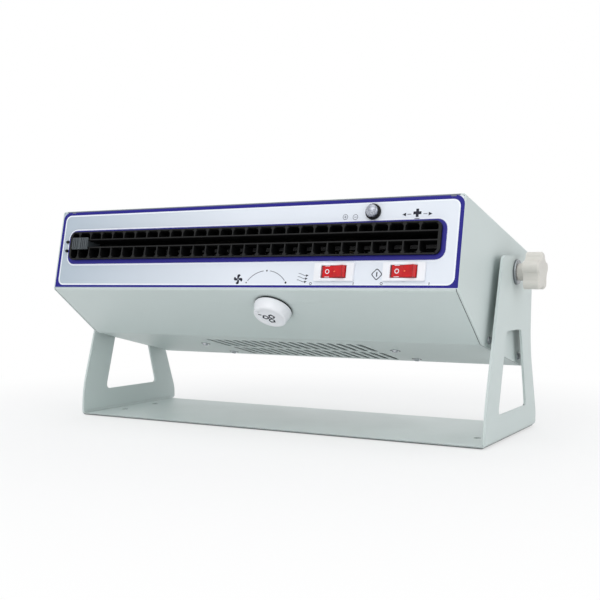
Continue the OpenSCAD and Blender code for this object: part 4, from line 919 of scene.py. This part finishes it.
def makeSlotPegs():
    # two short black pegs beside the cleaner's slot
    bm = bmesh.new()
    for z in slotPegs["z"]:
        place = onFront(slotPegs["x"], z, slotPegs["out"]) @ Matrix.Rotation(math.radians(90), 4, "Y")
        peg = bmesh.ops.create_cone(bm, segments=slotPegs["segments"], radius1=slotPegs["r"],
                                    radius2=slotPegs["r"], depth=slotPegs["long"], cap_ends=True)
        for v in peg["verts"]:
            v.co = place @ (v.co * mm)
    me = bpy.data.meshes.new("slot_pegs")
    bm.to_mesh(me)
    bm.free()
    me.materials.append(materials["black_plastic"])
    obj = bpy.data.objects.new("slot_pegs", me)
    bpy.context.scene.collection.objects.link(obj)
    soft = obj.modifiers.new("round", "BEVEL")
    soft.width = slotPegs["round"] * mm
    soft.segments = 3
    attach(obj, "housing")


makeBorder()
makeHighlightLines()
makeSigns()
makeTopEdgeStrip()
makeRockerMarks()
makeKnobMarks()
makeScrewShadows()
makeSlotPegs()
print("print and marks made")


# Studio

camera = {"place": (0.43311, -0.79142, 0.12855), "yaw": 28.738, "pitch": -3.86, "roll": 0.157,
          "lens": 56.32, "shiftY": 0.0833}


def makeCamera():
    data = bpy.data.cameras.new("camera")
    data.lens = camera["lens"]
    data.sensor_width = 36.0
    data.shift_y = camera["shiftY"]
    data.clip_start, data.clip_end = 0.01, 50
    obj = bpy.data.objects.new("camera", data)
    bpy.context.scene.collection.objects.link(obj)
    obj.matrix_world = (Matrix.Translation(camera["place"])
                        @ Matrix.Rotation(math.radians(camera["yaw"]), 4, "Z")
                        @ Matrix.Rotation(math.radians(90 + camera["pitch"]), 4, "X")
                        @ Matrix.Rotation(math.radians(camera["roll"]), 4, "Z"))
    bpy.context.scene.camera = obj


lights = {
    "key": ((0.1, -1.7, 1.3), 1.5, 11.0), "side": ((2.0, -0.5, 0.7), 1.6, 7.0),
    "top": ((0.0, -0.3, 2.1), 2.0, 9.0), "back": ((-0.6, 1.7, 0.9), 1.4, 3.0),
}


lightAim = (0, 0, 0.1)


def makeLights():
    for name, (place, size, power) in lights.items():
        data = bpy.data.lights.new(name, "AREA")
        data.shape = "DISK"
        data.size = size
        data.energy = power
        obj = bpy.data.objects.new(name, data)
        bpy.context.scene.collection.objects.link(obj)
        obj.location = place
        obj.rotation_mode = "QUATERNION"
        obj.rotation_quaternion = (Vector(lightAim) - Vector(place)).to_track_quat("-Z", "Y")


def backdropFactor(tree):
    # 1 for rays from the camera, in mirrors and through glass
    path = addNode(tree, "ShaderNodeLightPath")
    seen = addMath(tree, "MAXIMUM", path.outputs["Is Camera Ray"], path.outputs["Is Glossy Ray"])
    return addMath(tree, "MAXIMUM", seen, path.outputs["Is Transmission Ray"])


skyLight = {"Color": (0.95, 0.975, 1, 1), "Strength": 0.6}


def makeWorld():
    # white to the camera, softer and cooler as light
    world = bpy.data.worlds.new("studio")
    bpy.context.scene.world = world
    world.use_nodes = True
    tree = world.node_tree
    tree.nodes.clear()
    white = addNode(tree, "ShaderNodeBackground", {"Color": (1, 1, 1, 1), "Strength": 1.0})
    soft = addNode(tree, "ShaderNodeBackground", skyLight)
    mix = addNode(tree, "ShaderNodeMixShader")
    out = addNode(tree, "ShaderNodeOutputWorld")
    tree.links.new(backdropFactor(tree), mix.inputs[0])
    tree.links.new(soft.outputs[0], mix.inputs[1])
    tree.links.new(white.outputs[0], mix.inputs[2])
    tree.links.new(mix.outputs[0], out.inputs[0])


floorFade = {"near": 0.22, "far": 0.6, "least": 0.6, "size": 12.0, "below": 0.0004}


def makeFloor():
    # pale floor that takes the object's shadow near it and runs out into the white backdrop
    bm = bmesh.new()
    bmesh.ops.create_grid(bm, x_segments=2, y_segments=2, size=floorFade["size"])
    me = bpy.data.meshes.new("floor")
    bm.to_mesh(me)
    bm.free()
    obj = bpy.data.objects.new("floor", me)
    bpy.context.scene.collection.objects.link(obj)
    obj.location = (0, 0, -floorFade["below"])
    mat, tree, shader = newMaterial("paleFloor", Roughness=0.9)
    tone = useGroup(tree, "toneDrift", Color=(0.9, 0.9, 0.9, 1), Scale=1.2, Amount=0.01)
    tree.links.new(tone["Color"], shader.inputs["Base Color"])
    away = addNode(tree, "ShaderNodeVectorMath", operation="LENGTH")
    tree.links.new(addNode(tree, "ShaderNodeNewGeometry").outputs["Position"], away.inputs[0])
    fade = addNode(tree, "ShaderNodeMapRange", {"From Min": floorFade["near"],
                                                "From Max": floorFade["far"],
                                                "To Min": floorFade["least"]},
                   interpolation_type="SMOOTHSTEP")
    tree.links.new(away.outputs["Value"], fade.inputs["Value"])
    white = addNode(tree, "ShaderNodeEmission", {"Color": (1, 1, 1, 1), "Strength": 1.0})
    mix = addNode(tree, "ShaderNodeMixShader")
    tree.links.new(addMath(tree, "MULTIPLY", fade.outputs["Result"], backdropFactor(tree)),
                   mix.inputs[0])
    tree.links.new(shader.outputs[0], mix.inputs[1])
    tree.links.new(white.outputs[0], mix.inputs[2])
    tree.links.new(mix.outputs[0], tree.nodes["Material Output"].inputs[0])
    me.materials.append(mat)


makeCamera()
makeLights()
makeWorld()
makeFloor()
bpy.context.scene.view_settings.view_transform = "Standard"
print("camera, lights and floor set")
